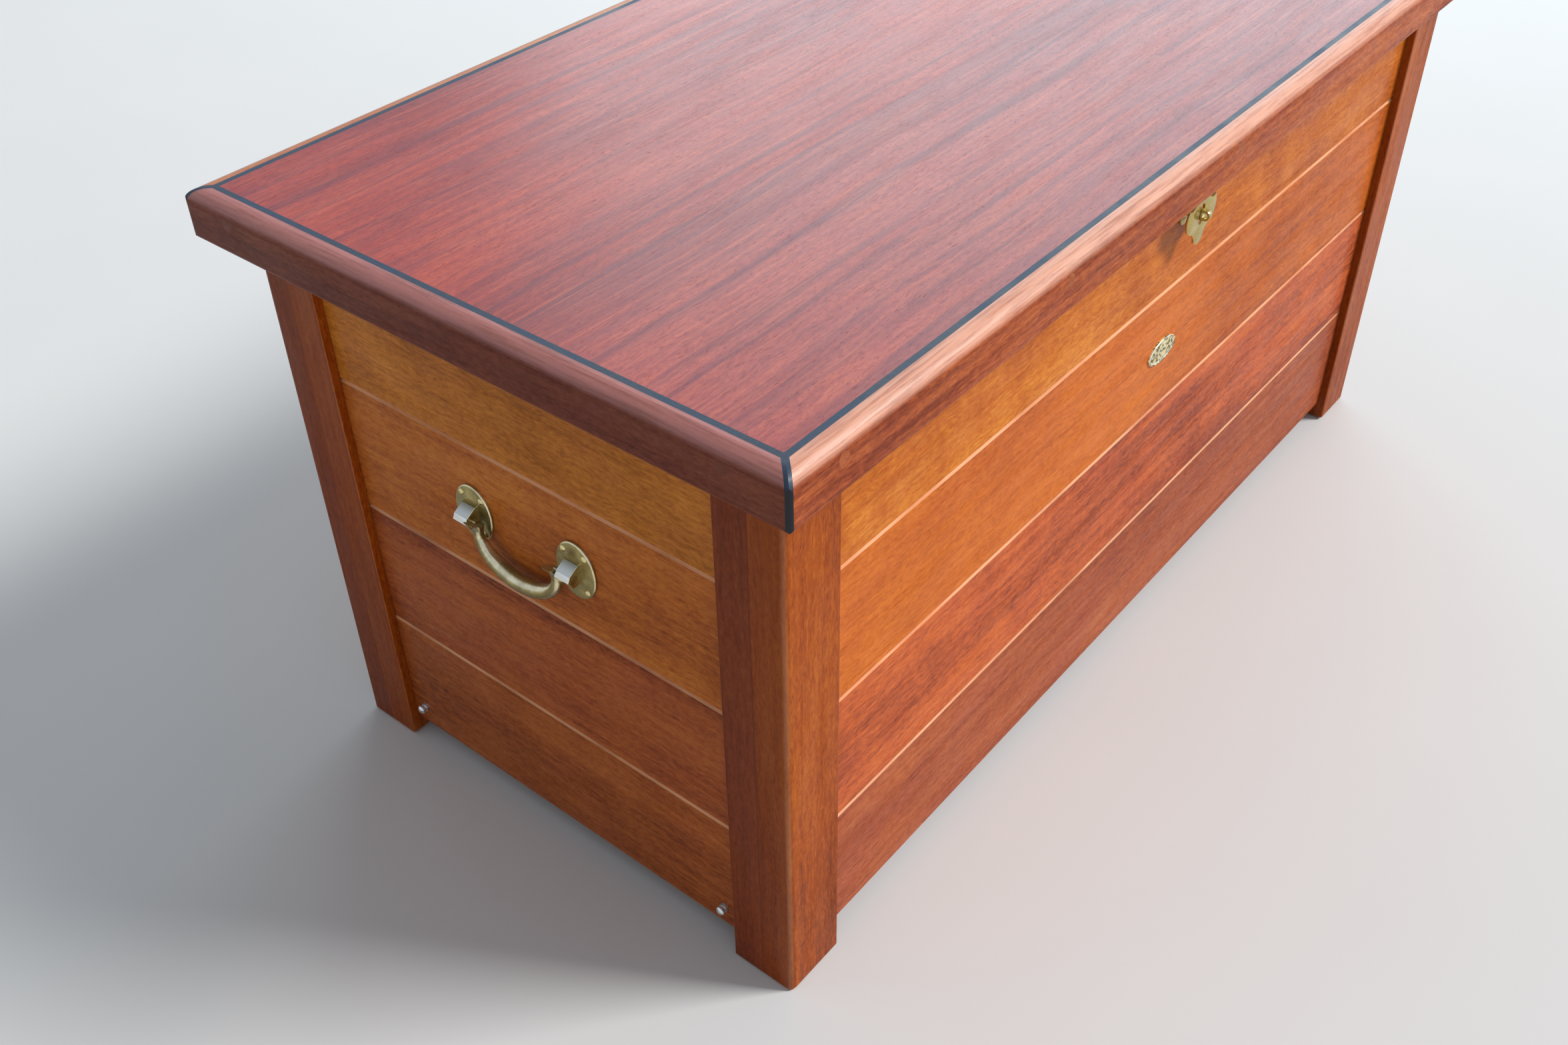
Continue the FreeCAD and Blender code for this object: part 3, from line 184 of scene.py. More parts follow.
class Graph:
    """Node tree of a material or of the world."""

    def __init__(self, tree: bpy.types.NodeTree) -> None:
        """Empties the tree."""
        self.tree = tree
        tree.nodes.clear()

    def add(self, kind: str, settings: Optional[dict] = None, sockets: Optional[dict] = None,
            out: Union[int, str] = 0) -> Wire:
        """Adds a node.

        Args:
            kind: Blender's name of the node's type.
            settings: the node's own settings, set first; "stops" holds a ramp's (place, colour) pairs.
            sockets: values or links of its inputs, by name or number.
            out: the output that is wanted, by name or number.

        Returns:
            The wanted output.
        """
        node = self.tree.nodes.new(kind)
        for name, setting in (settings or {}).items():
            if name == "stops":
                self._set_stops(node.color_ramp, setting)
            else:
                setattr(node, name, setting)
        for name, value in (sockets or {}).items():
            if isinstance(value, Wire):
                self.tree.links.new(value.socket, node.inputs[name])
            else:
                node.inputs[name].default_value = value
        return Wire(self, node.outputs[out])

    @staticmethod
    def _set_stops(ramp: bpy.types.ColorRamp, stops: Sequence[Tuple[float, Colour]]) -> None:
        """Puts a ramp's stops in place.

        Args:
            ramp: the ramp.
            stops: (place, colour) pairs.
        """
        while len(ramp.elements) < len(stops):
            ramp.elements.new(1.0)
        for element, (place, colour) in zip(ramp.elements, stops):
            element.position = place
            element.color = colour

    def close(self, kind: str, shader: Wire) -> None:
        """Links a shader to a new output node of the given type."""
        node = self.tree.nodes.new(kind)
        self.tree.links.new(shader.socket, node.inputs["Surface"])

    def maths(self, operation: str, *values: Value) -> Wire:
        """Math node of an operation on one to three values."""
        return self.add("ShaderNodeMath", {"operation": operation}, dict(enumerate(values)))

    def vector(self, operation: str, *values: Socketed) -> Wire:
        """Vector Math node of an operation on one to three vectors."""
        return self.add("ShaderNodeVectorMath", {"operation": operation}, dict(enumerate(values)))

    def parts(self, vector: Wire) -> List[Wire]:
        """The three components of a vector."""
        node = self.add("ShaderNodeSeparateXYZ", None, {0: vector}).socket.node
        return [Wire(self, output) for output in node.outputs]

    def coordinates(self, kind: str) -> Wire:
        """Texture coordinates of a kind: Object is the place in the part's frame, in metres."""
        return self.add("ShaderNodeTexCoord", None, None, kind)

    def layer(self, layer: Layer, place: Wire, grain: Grain = Grain.ALONG_X,
              shift: Socketed = (0.0, 0.0, 0.0), out: str = "Fac") -> Wire:
        """Noise of a layer.

        Args:
            layer: the layer.
            place: coordinates, in metres.
            grain: the direction of the fibres.
            shift: what the stretched coordinates are moved by.
            out: the wanted output, Fac or Color.

        Returns:
            The noise.
        """
        stretch = grain.stretch(layer.along, layer.across)
        spot = self.vector("MULTIPLY_ADD", place, stretch, shift)
        sockets = {"Vector": spot, "Scale": 1.0, "Detail": layer.detail, "Roughness": layer.rough}
        return self.add("ShaderNodeTexNoise", None, sockets, out)

    def step(self, value: Wire, low: float, high: float) -> Wire:
        """Smooth rise from 0 at the low value to 1 at the high one."""
        sockets = {"Value": value, "From Min": low, "From Max": high}
        return self.add("ShaderNodeMapRange", {"interpolation_type": "SMOOTHSTEP"}, sockets)

    def mix(self, share: Value, first: Socketed, second: Socketed, way: str = "MIX") -> Wire:
        """Mix of two colours.

        Args:
            share: how much of the second colour there is.
            first: the first colour.
            second: the second colour.
            way: Blender's name of the way that they blend.

        Returns:
            The mixed colour.
        """
        settings = {"data_type": "RGBA", "blend_type": way, "clamp_factor": True}
        sockets = {MIX_SHARE: share, MIX_FIRST: first, MIX_SECOND: second}
        return self.add("ShaderNodeMix", settings, sockets, MIX_RESULT)

    def bump(self, strength: float, distance: float, height: Wire) -> Wire:
        """Normal that follows a height."""
        sockets = {"Strength": strength, "Distance": distance, "Height": height}
        return self.add("ShaderNodeBump", None, sockets, "Normal")

    def surface(self, sockets: Dict[str, Socketed]) -> Wire:
        """Principled surface of the given values and links."""
        return self.add("ShaderNodeBsdfPrincipled", None, sockets)

    def edges(self) -> Wire:
        """Mask of bevels and roundings.

        Returns:
            1 on them, 0 on faces that lie square to the box.
        """
        x, y, z = self.parts(self.vector("ABSOLUTE", self.coordinates("Normal")))
        squareness = self.maths("MAXIMUM", self.maths("MAXIMUM", x, y), z)
        return self.step(1.0 - squareness, *EDGE_RISE)

    def upward(self) -> Wire:
        """1 on surfaces that face up, 0 on upright ones and below."""
        return self.step(self.parts(self.coordinates("Normal"))[2], *UPWARD_RISE)


class Finish:
    """Anything that can be put on a piece as a material; its name is the material's name."""

    name: str

    def material(self) -> bpy.types.Material:
        """Makes the finish's material, when it is first asked for.

        Returns:
            The material.
        """
        known = bpy.data.materials.get(self.name)
        if known:
            return known
        made = bpy.data.materials.new(self.name)
        made.use_nodes = True
        graph = Graph(made.node_tree)
        graph.close("ShaderNodeOutputMaterial", self.shader(graph))
        return made

    def shader(self, graph: Graph) -> Wire:
        """Builds the shader of the finish."""
        raise NotImplementedError


@dataclass(frozen=True)
class Staves:
    """Two staves of a post, or two planks of the panel, with a glued joint at a place across the width.

    The first has the tones of its wood and may darken towards the joint. The second has its own tones.
    Faces that look along the box's length get a painted shade, darkened towards the deep tone.
    """

    middle: float
    tones: Tones
    glue: Tone = (58, 30, 24)
    glue_half: float = 0.5 * MM
    end_painted_shade: float = 0.45
    joint_shade: float = 0.0
    joint_reach: float = 70 * MM
    shift: Triple = (5.3, 7.1, 3.9)
    change: float = 0.1 * MM
    glue_core: float = 0.3
    glue_share: float = 0.8
    end_rise: Rise = (0.5, 0.9)

    def second(self, graph: Graph, place: Wire) -> Wire:
        """1 on the second stave, 0 on the first."""
        return graph.step(graph.parts(place)[1] - self.middle, -self.change, self.change)

    def colour(self, graph: Graph, place: Wire, woods: Tuple[Wire, Wire], deep: Tone) -> Wire:
        """Colour of both staves, with the glue, the darkening at the joint and the painted shade on
        end-facing faces.

        Args:
            graph: the material's nodes.
            place: coordinates, in metres.
            woods: the colours of the two staves.
            deep: the tone of the darkening at the joint and of the painted shade.

        Returns:
            The colour.
        """
        second = self.second(graph, place)
        colour = graph.mix(second, *woods)
        away = abs(graph.parts(place)[1] - self.middle)
        seam = 1.0 - graph.step(away, self.glue_core * self.glue_half, self.glue_half)
        colour = graph.mix(self.glue_share * seam, colour, linear(self.glue))
        near = (1.0 - graph.step(away, 0.0, self.joint_reach)) * (1.0 - second)
        colour = graph.mix(self.joint_shade * near, colour, linear(deep))
        # Painted shade: faces that look along the box's length are darkened towards the deep tone
        sideways = abs(graph.parts(graph.coordinates("Normal"))[0])
        return graph.mix(self.end_painted_shade * graph.step(sideways, *self.end_rise), colour, linear(deep))


# Layers of the varnished wood: how the fibres stray, what moves the tone, and masks of what lies over it
BEND = Layer(2.2, 7.0, 2.0, 0.5)
WAVE = Layer(22.0, 30.0, 1.0, 0.5)
STREAK = Layer(2.0, 120.0, 5.0, 0.6)
RIBBON = Layer(1.1, 17.0, 2.0, 0.5)
FIGURE = Layer(15.0, 7.0, 4.0, 0.6)
DRIFT = Layer(2.0, 4.0, 1.0, 0.5)
LINE = Layer(20.0, 330.0, 3.0, 0.6)
FIBRE = Layer(60.0, 900.0, 2.0, 0.6)
FLECK = Layer(120.0, 320.0, 3.0, 0.65)
PORE = Layer(130.0, 1300.0, 1.0, 0.5, (0.60, 0.72))
DARK_BAND = Layer(0.4, 62.0, 2.0, 0.5, (0.42, 0.72))
LIGHT_LINE = Layer(5.0, 300.0, 3.0, 0.6, (0.48, 0.74))
FLUSH = Layer(10.0, 18.0, 3.0, 0.55, (0.42, 0.68))
PATCH = Layer(9.0, 60.0, 3.0, 0.6, (0.35, 0.6))
BLEACH_AND_SHEEN = Layer(16.0, 420.0, 3.0, 0.6, (0.36, 0.58))
RIPPLE = Layer(14.0, 30.0, 1.0, 0.4)
FIGURE_SLANT = (0.45, 0.45, 0.0)


class Fibres:
    """Coordinates of a piece of varnished wood, and noise that follows its fibres."""

    def __init__(self, graph: Graph, wood: "VarnishedWood") -> None:
        """Bends the coordinates, in long bends and then in short waves.

        Args:
            graph: the material's nodes.
            wood: the finish that the piece has.
        """
        self.graph = graph
        self.grain = wood.grain
        self.place = graph.coordinates("Object")
        self.shift = wood.shift(graph, self.place)
        self.bent = self._strayed(BEND, wood.sway, self.place)
        self.wavy = self._strayed(WAVE, wood.swing, self.bent)
        self.slant = graph.add("ShaderNodeMapping", None, {"Vector": self.bent, "Rotation": FIGURE_SLANT})

    def noise(self, layer: Layer, source: Wire, out: str = "Fac") -> Wire:
        """Noise of a layer, at some of these coordinates."""
        return self.graph.layer(layer, source, self.grain, self.shift, out)

    def mask(self, layer: Layer, source: Wire) -> Wire:
        """Mask of a layer, at some of these coordinates."""
        return self.graph.step(self.noise(layer, source), *layer.rise)

    def _strayed(self, layer: Layer, reach: float, source: Wire) -> Wire:
        """Coordinates that stray across the fibres, over a width in metres."""
        stray = self.graph.vector("SUBTRACT", self.noise(layer, self.place, "Color"), (MIDDLE,) * 3)
        return self.graph.vector("MULTIPLY_ADD", stray, self.grain.stretch(0.0, reach), source)


@dataclass(frozen=True)
class VarnishedWood(Finish):
    """Hardwood under varnish: streaks, ribbons, cross-grain figure, pores, and paler edges and tops.

    Paler edges are partly wearing and partly a painted highlight; paler tops are partly sun bleaching and
    partly a painted sheen; a painted shade may also darken the wood steadily along its length. The tones go
    from deep to light. The shares say how far each feature moves the tone or the colour.
    """

    name: str
    grain: Grain
    tones: Tones
    seed: float
    streaks: float
    ribbons: float
    figure: float
    pores: float
    varnish: float
    gloss: float
    # Paler edges: partly wearing, partly a painted highlight on bevels, grooves and roundings
    worn_and_highlit: Tone = (236, 178, 140)
    wear_and_highlight: float = 0.35
    top_varnish: Optional[float] = None
    # Paler top: partly sun bleaching, partly a painted sheen on faces that look up
    bleach_and_sheen: Optional[Tone] = None
    bleach_and_sheen_share: float = 0.0
    light_lines: Optional[Tone] = None
    dark_bands: Optional[Tone] = None
    staves: Optional[Staves] = None
    mottle: float = 0.85
    blush: float = 0.5
    # Painted shade: a steady change of tone along the grain, per metre
    painted_shade_lean: float = 0.0
    sway: float = 0.022
    swing: float = 0.012
    seed_shift: Triple = (1.0, 1.7, 2.3)
    tone_places: Tuple[float, ...] = (0.12, 0.36, 0.6, 0.9)
    streak_weight: float = 1.9
    ribbon_weight: float = 2.0
    figure_weight: float = 1.6
    figure_base: float = 0.12
    drift_weight: float = 0.6
    line_weight: float = 0.6
    fibre_weight: float = 0.35
    band_share: float = 0.54
    line_share: float = 0.5
    blush_tint: Colour = (0.9, 0.82, 1.25, 1.0)
    wear_and_highlight_least: float = 0.55
    bleach_and_sheen_lines: float = 0.7
    bleach_and_sheen_least: float = 0.45
    fibre_relief: float = 0.35
    pore_relief: float = 0.5
    ripple_relief: float = 0.8
    bump: Tuple[float, float] = (0.22, 0.8 * MM)
    rough: float = 0.52
    patch_polish: float = 0.16
    pore_rough: float = 0.12
    pore_dull: float = 0.35
    specular: float = 0.06

    def shader(self, graph: Graph) -> Wire:
        """Builds the wood's shader.

        Args:
            graph: the material's nodes.

        Returns:
            The shader's output.
        """
        fibres = Fibres(graph, self)
        streak = fibres.noise(STREAK, fibres.bent)
        fibre = fibres.noise(FIBRE, fibres.wavy)
        pore = fibres.mask(PORE, fibres.wavy)
        patch = fibres.mask(PATCH, fibres.place)
        colour = self._ground(fibres, streak, fibre)
        colour = self._marked(fibres, colour, pore)
        colour = self._pale_edges_and_top(fibres, colour, streak, patch)

        varnish: Value = self.varnish
        if self.top_varnish is not None:
            varnish = self.varnish + (self.top_varnish - self.varnish) * graph.upward()
        ripple = fibres.noise(RIPPLE, fibres.place)
        relief = self.fibre_relief * fibre - self.pore_relief * pore + self.ripple_relief * ripple
        return graph.surface({
            "Base Color": colour,
            "Roughness": self.rough - self.patch_polish * patch + self.pore_rough * pore,
            "Specular IOR Level": self.specular,
            "Coat Weight": varnish * (1.0 - self.pore_dull * pore),
            "Coat Roughness": self.gloss,
            "Normal": graph.bump(*self.bump, relief),
        })

    def shift(self, graph: Graph, place: Wire) -> Socketed:
        """What the noise is moved by, so that each piece and each stave differs.

        Args:
            graph: the material's nodes.
            place: coordinates, in metres.

        Returns:
            The vector.
        """
        if not self.staves:
            return tuple(self.seed * part for part in self.seed_shift)
        scale = self.staves.second(graph, place) + self.seed
        return graph.add("ShaderNodeVectorMath", {"operation": "SCALE"},
                         {0: self.staves.shift, "Scale": scale})

    def _ramp(self, graph: Graph, tone: Wire, tones: Tones) -> Wire:
        """Colour between four tones."""
        stops = [(place, linear(each)) for place, each in zip(self.tone_places, tones)]
        return graph.add("ShaderNodeValToRGB", {"stops": stops}, {"Fac": tone}, "Color")

    def _ground(self, fibres: Fibres, streak: Wire, fibre: Wire) -> Wire:
        """Colour of the plain wood, before marks.

        Args:
            fibres: the wood's coordinates.
            streak: noise of the streaks.
            fibre: noise of the fibres.

        Returns:
            The colour.
        """
        graph = fibres.graph
        weighed = (
            (self.streak_weight * self.streaks, streak),
            (self.ribbon_weight * self.ribbons, fibres.noise(RIBBON, fibres.bent)),
            (self.figure_weight * (self.figure + self.figure_base), fibres.noise(FIGURE, fibres.slant)),
            (self.drift_weight, fibres.noise(DRIFT, fibres.place)),
            (self.line_weight, fibres.noise(LINE, fibres.wavy)),
            (self.fibre_weight, fibre),
            (self.mottle, fibres.noise(FLECK, fibres.wavy)),
        )
        tone: Value = MIDDLE
        for weight, noise in weighed:
            tone = tone + weight * (noise - MIDDLE)
        # Painted shade: the tone changes steadily along the grain
        if self.painted_shade_lean:
            tone = tone + self.painted_shade_lean * graph.parts(fibres.place)[self.grain.value]
        colour = self._ramp(graph, tone, self.tones)
        if not self.staves:
            return colour
        woods = (colour, self._ramp(graph, tone, self.staves.tones))
        return self.staves.colour(graph, fibres.place, woods, self.tones[0])

    def _marked(self, fibres: Fibres, colour: Wire, pore: Wire) -> Wire:
        """Colour with bands, lines, a blush and pores.

        Args:
            fibres: the wood's coordinates.
            colour: the colour so far.
            pore: mask of the pores.

        Returns:
            The new colour.
        """
        graph = fibres.graph
        if self.dark_bands:
            band = fibres.mask(DARK_BAND, fibres.bent)
            colour = graph.mix(self.band_share * band, colour, linear(self.dark_bands))
        if self.light_lines:
            line = fibres.mask(LIGHT_LINE, fibres.bent)
            colour = graph.mix(self.line_share * line, colour, linear(self.light_lines))
        flush = fibres.mask(FLUSH, fibres.slant)
        colour = graph.mix(self.blush * flush, colour, self.blush_tint, "MULTIPLY")
        return graph.mix(self.pores * pore, colour, linear(self.tones[0]))

    def _pale_edges_and_top(self, fibres: Fibres, colour: Wire, streak: Wire, patch: Wire) -> Wire:
        """Colour with paler edges, partly wearing and partly a painted highlight, and a paler top, partly sun
        bleaching and partly a painted sheen.

        Args:
            fibres: the wood's coordinates.
            colour: the colour so far.
            streak: noise of the streaks.
            patch: mask of the patches where the paler edges are strongest.

        Returns:
            The new colour.
        """
        graph = fibres.graph
        # Painted highlight, partly wearing: bevels and roundings made paler, most on the patches
        worn_and_highlit = self.wear_and_highlight * graph.edges() * (self.wear_and_highlight_least + (1 - self.wear_and_highlight_least) * patch)
        colour = graph.mix(worn_and_highlit, colour, linear(self.worn_and_highlit))
        # Painted sheen, partly sun bleaching: faces that look up are made paler, in streaks
        if self.bleach_and_sheen:
            lines = self.bleach_and_sheen_lines * fibres.noise(BLEACH_AND_SHEEN, fibres.bent) + (1 - self.bleach_and_sheen_lines) * streak
            bright = graph.step(lines, *BLEACH_AND_SHEEN.rise)
            share = self.bleach_and_sheen_share * graph.upward() * (self.bleach_and_sheen_least + (1 - self.bleach_and_sheen_least) * bright)
            colour = graph.mix(share, colour, linear(self.bleach_and_sheen))
        return colour


@dataclass(frozen=True)
class PlainWood(Finish):
    """Bare planed wood of the hidden pieces."""

    name: str
    grain: Grain
    pale: Tone
    dark: Tone
    streak: Layer = Layer(2.0, 70.0, 5.0, 0.6)
    fibre: Layer = Layer(30.0, 900.0, 2.0, 0.6)
    streak_share: float = 0.75
    tone_rise: Rise = (0.3, 0.7)
    bump: Tuple[float, float] = (0.3, 0.6 * MM)
    rough: float = 0.78
    streak_polish: float = 0.15
    specular: float = 0.25

    def shader(self, graph: Graph) -> Wire:
        """Builds the bare wood's shader.

        Args:
            graph: the material's nodes.

        Returns:
            The shader's output.
        """
        place = graph.coordinates("Object")
        streak = graph.layer(self.streak, place, self.grain)
        fibre = graph.layer(self.fibre, place, self.grain)
        blend = self.streak_share * streak + (1 - self.streak_share) * fibre
        return graph.surface({
            "Base Color": graph.mix(graph.step(blend, *self.tone_rise), linear(self.dark), linear(self.pale)),
            "Roughness": self.rough - self.streak_polish * streak,
            "Specular IOR Level": self.specular,
            "Normal": graph.bump(*self.bump, fibre),
        })


@dataclass(frozen=True)
class PlugWood(Finish):
    """Round plugs in the lid's edge, cut from the same wood as the member that they sit in."""

    name: str
    front: Tone
    end: Tone
    back: Tone
    end_at: float
    deep: Tone = (92, 40, 22)
    depth: float = 20 * MM
    fleck: Layer = Layer(700.0, 700.0, 3.0, 0.6)
    band: Layer = Layer(260.0, 90.0, 2.0, 0.5)
    band_share: float = 0.5
    shade_rise: Rise = (0.35, 0.65)
    deep_most: float = 0.55
    deep_less: float = 0.45
    bump: Tuple[float, float] = (0.2, 0.6 * MM)
    rough: float = 0.6
    shade_polish: float = 0.15
    specular: float = 0.1
    varnish: float = 0.2
    gloss: float = 0.25

    def shader(self, graph: Graph) -> Wire:
        """Builds the plugs' shader.

        Args:
            graph: the material's nodes.

        Returns:
            The shader's output.
        """
        place = graph.coordinates("Object")
        x, y, _ = graph.parts(place)
        colour = graph.mix(graph.step(y, 0.0, MM), linear(self.front), linear(self.back))
        inner = self.end_at - self.depth
        colour = graph.mix(graph.step(abs(x), inner, inner + MM), colour, linear(self.end))
        fleck = graph.layer(self.fleck, place)
        band = graph.layer(self.band, place, Grain.ALONG_Z)
        shade = graph.step((1 - self.band_share) * fleck + self.band_share * band, *self.shade_rise)
        return graph.surface({
            "Base Color": graph.mix(self.deep_most - self.deep_less * shade, colour, linear(self.deep)),
            "Roughness": self.rough - self.shade_polish * shade,
            "Specular IOR Level": self.specular,
            "Coat Weight": self.varnish,
            "Coat Roughness": self.gloss,
            "Normal": graph.bump(*self.bump, fleck),
        })


@dataclass(frozen=True)
class AgedMetal(Finish):
    """Metal with dull patches, fine scratches, a stipple of dark specks, and bright edges, partly from
    rubbing and partly a painted highlight.

    Where a distance from the middle of the box is given, what stands beyond it is bare, but for the faces
    that look along the box's width. There a painted shade darkens the root and fades to the bright tone over
    a reach, and faces that look up get a painted reflection, a greyer tone of their own.
    """

    name: str
    bright: Tone
    dull: Tone
    # Tone of the bright edges: partly rubbing, partly a painted highlight
    rubbed_and_highlit: Tone
    rough: float
    patina: float = 0.8
    grain: Grain = Grain.ALONG_Y
    stipple: float = 0.3
    stipple_scale: float = 900.0
    bare_beyond: Optional[float] = None
    bare: Tone = (255, 252, 240)
    # Painted shade at the hood's root, fading out over the reach, and a painted reflection on its up-facing
    # facets
    painted_root_shade: Tone = (92, 84, 60)
    root_shade_reach: float = 11 * MM
    painted_top_reflection: Tone = (158, 161, 156)
    cloud: Layer = Layer(65.0, 65.0, 5.0, 0.65, (0.36, 0.66))
    scratch: Layer = Layer(90.0, 2600.0, 2.0, 0.6)
    speck_detail: Tuple[float, float] = (2.0, 0.6)
    speck_rise: Rise = (0.62, 0.74)
    speck_usual: float = 0.3
    speck_spread: float = 0.3
    patina_least: float = 0.35
    rub_and_highlight: float = 0.9
    rub_and_highlight_dull: float = 0.4
    root_shade_start: float = 2 * MM
    aside_rise: Rise = (0.4, 0.8)
    top_reflection_rise: Rise = (0.3, 0.6)
    top_reflection_share: float = 0.85
    bare_share: float = 0.97
    scratch_relief: float = 0.5
    cloud_relief: float = 0.4
    speck_relief: float = 0.3
    bump: Tuple[float, float] = (0.12, 0.3 * MM)
    dull_film: float = 0.3
    top_film: float = 0.35
    dull_rough: float = 0.16
    scratch_rough: float = 0.08
    rub_polish: float = 0.1

    def shader(self, graph: Graph) -> Wire:
        """Builds the metal's shader.

        Args:
            graph: the material's nodes.

        Returns:
            The shader's output.
        """
        place = graph.coordinates("Object")
        cloud = graph.layer(self.cloud, place)
        speck = graph.layer(Layer(self.stipple_scale, self.stipple_scale, *self.speck_detail), place)
        scratch = graph.layer(self.scratch, place, self.grain)
        dull = graph.step(cloud, *self.cloud.rise)
        lower = self.speck_spread * (self.stipple - self.speck_usual)
        dark = graph.step(speck, *(limit - lower for limit in self.speck_rise))
        rubbed_and_highlit = graph.edges()
        settled = graph.upward()
        patina = self.patina * (self.patina_least + (1 - self.patina_least) * dull)
        colour = graph.mix(patina + self.stipple * dark, linear(self.bright), linear(self.dull))
        # Bright edges: partly rubbing, partly a painted highlight
        colour = graph.mix(rubbed_and_highlit * (self.rub_and_highlight - self.rub_and_highlight_dull * dull), colour, linear(self.rubbed_and_highlit))
        if self.bare_beyond:
            bare, metal = self._bare_metal(graph, abs(graph.parts(place)[0]), self.bare_beyond)
            colour = graph.mix(self.bare_share * bare, colour, metal)
            rubbed_and_highlit = graph.maths("MAXIMUM", rubbed_and_highlit, bare)
            settled = settled * (1.0 - bare)
        covered = 1.0 - rubbed_and_highlit
        relief = self.scratch_relief * scratch + self.cloud_relief * cloud - self.speck_relief * dark
        rough = self.dull_rough * dull + self.scratch_rough * scratch
        return graph.surface({
            "Base Color": colour,
            "Metallic": 1.0 - self.dull_film * dull * covered - self.top_film * settled,
            "Roughness": self.rough + rough * covered - self.rub_polish * rubbed_and_highlit,
            "Normal": graph.bump(*self.bump, relief * covered),
        })

    def _bare_metal(self, graph: Graph, reach: Wire, start: float) -> Tuple[Wire, Wire]:
        """Where the metal is bare, and its colour there, with a painted shade at the root and a painted
        reflection on faces that look up.

        Args:
            graph: the material's nodes.
            reach: distance from the middle of the box along its length.
            start: the distance that it is bare beyond.

        Returns:
            The mask and the colour.
        """
        _, across, up = graph.parts(graph.coordinates("Normal"))
        aside = graph.step(abs(across), *self.aside_rise)
        bare = graph.step(reach, start, start + MM) * (1.0 - aside)
        # Painted shade at the root fading out, and a painted reflection on facets that look up
        beyond_root_shade = graph.step(reach, start - self.root_shade_start, start + self.root_shade_reach)
        top = self.top_reflection_share * graph.step(up, *self.top_reflection_rise)
        facet = graph.mix(top, linear(self.bare), linear(self.painted_top_reflection))
        return bare, graph.mix(beyond_root_shade, linear(self.painted_root_shade), facet)


@dataclass(frozen=True)
class Sealant(Finish):
    """Black deck sealant: satin, a little uneven, with a bluish paling, partly a fine dusting and partly a
    painted sky sheen, most of it on top.
    """

    name: str
    body: Tone
    # Bluish paling: partly a fine dusting, partly a painted sky sheen
    dust_and_sheen: Tone
    lump: Layer = Layer(140.0, 140.0, 3.0, 0.55)
    grit: Layer = Layer(1500.0, 1500.0, 1.0, 0.5, (0.66, 0.74))
    film: Layer = Layer(22.0, 22.0, 4.0, 0.6, (0.35, 0.7))
    film_share: float = 0.3
    grit_share: float = 0.4
    side_dust_and_sheen: float = 0.2
    top_dust_and_sheen: float = 0.25
    grit_relief: float = 0.3
    bump: Tuple[float, float] = (0.3, MM)
    rough: float = 0.42
    film_rough: float = 0.2
    specular: float = 0.3
    skin: float = 0.18
    film_dull: float = 0.1
    skin_gloss: float = 0.22

    def shader(self, graph: Graph) -> Wire:
        """Builds the sealant's shader.

        Args:
            graph: the material's nodes.

        Returns:
            The shader's output.
        """
        place = graph.coordinates("Object")
        lump = graph.layer(self.lump, place)
        grit = graph.step(graph.layer(self.grit, place), *self.grit.rise)
        film = graph.step(graph.layer(self.film, place), *self.film.rise)
        settled = graph.upward()
        loose = self.film_share * film + self.grit_share * grit
        # Paling: partly dusting, partly a painted sky sheen, most on faces that look up
        dust_and_sheen = loose * (self.side_dust_and_sheen + (1 - self.side_dust_and_sheen) * settled) + self.top_dust_and_sheen * settled
        return graph.surface({
            "Base Color": graph.mix(dust_and_sheen, linear(self.body), linear(self.dust_and_sheen)),
            "Roughness": self.rough + self.film_rough * film,
            "Specular IOR Level": self.specular,
            "Coat Weight": self.skin - self.film_dull * film,
            "Coat Roughness": self.skin_gloss,
            "Normal": graph.bump(*self.bump, lump + self.grit_relief * grit),
        })


@dataclass(frozen=True)
class PaleFloor(Finish):
    """Plain pale studio floor."""

    name: str
    tone: Tone
    cloud: Layer = Layer(3.0, 3.0, 3.0, 0.5)
    shade: float = 0.96
    rough: float = 0.9
    specular: float = 0.1

    def shader(self, graph: Graph) -> Wire:
        """Builds the floor's shader.

        Args:
            graph: the material's nodes.

        Returns:
            The shader's output.
        """
        cloud = graph.layer(self.cloud, graph.coordinates("Object"))
        shade = tuple(self.shade * part for part in linear(self.tone)[:3]) + (1.0,)
        return graph.surface({
            "Base Color": graph.mix(cloud, shade, linear(self.tone)),
            "Roughness": self.rough,
            "Specular IOR Level": self.specular,
        })


# The third tone of each metal colours its edges: partly rubbing, partly a painted highlight
BRASS = AgedMetal("aged_brass", (184, 165, 106), (112, 97, 55), (240, 232, 198), rough=0.21)
# The hoods beyond 615.5 mm get a painted shade at their root and a painted reflection on their tops
PLATE_BRASS = AgedMetal("hood_brass", (200, 182, 122), (132, 116, 68), (242, 234, 196), rough=0.24,
                        bare_beyond=615.5 * MM)
NAIL_BRASS = AgedMetal("nail_brass", (226, 206, 142), (150, 130, 78), (236, 218, 158), rough=0.12, patina=0.4)
HASP_BRASS = AgedMetal("lacquered_brass", (207, 183, 106), (140, 116, 55), (255, 246, 206), rough=0.16,
                       patina=0.6)
OVAL_BRASS = AgedMetal("oval_brass", (255, 242, 188), (92, 80, 42), (255, 252, 232), rough=0.2, patina=0.15,
                       stipple=0.85, stipple_scale=260.0)
HINGE_BRASS = AgedMetal("hinge_brass", (186, 164, 108), (150, 130, 82), (222, 208, 160), rough=0.26,
                        patina=0.55, grain=Grain.ALONG_X)
STEEL = AgedMetal("bright_steel", (212, 212, 210), (150, 150, 150), (232, 232, 230), rough=0.18, patina=0.5)
# The sealant's second tone is bluish: a dusting and a painted sky sheen
SEALANT = Sealant("black_sealant", (9, 12, 18), (62, 86, 114))
INNER_WOOD = PlainWood("inner_wood_along_x", Grain.ALONG_X, (186, 128, 84), (140, 84, 50))
CROSS_WOOD = PlainWood("inner_wood_along_y", Grain.ALONG_Y, (182, 124, 82), (136, 82, 50))


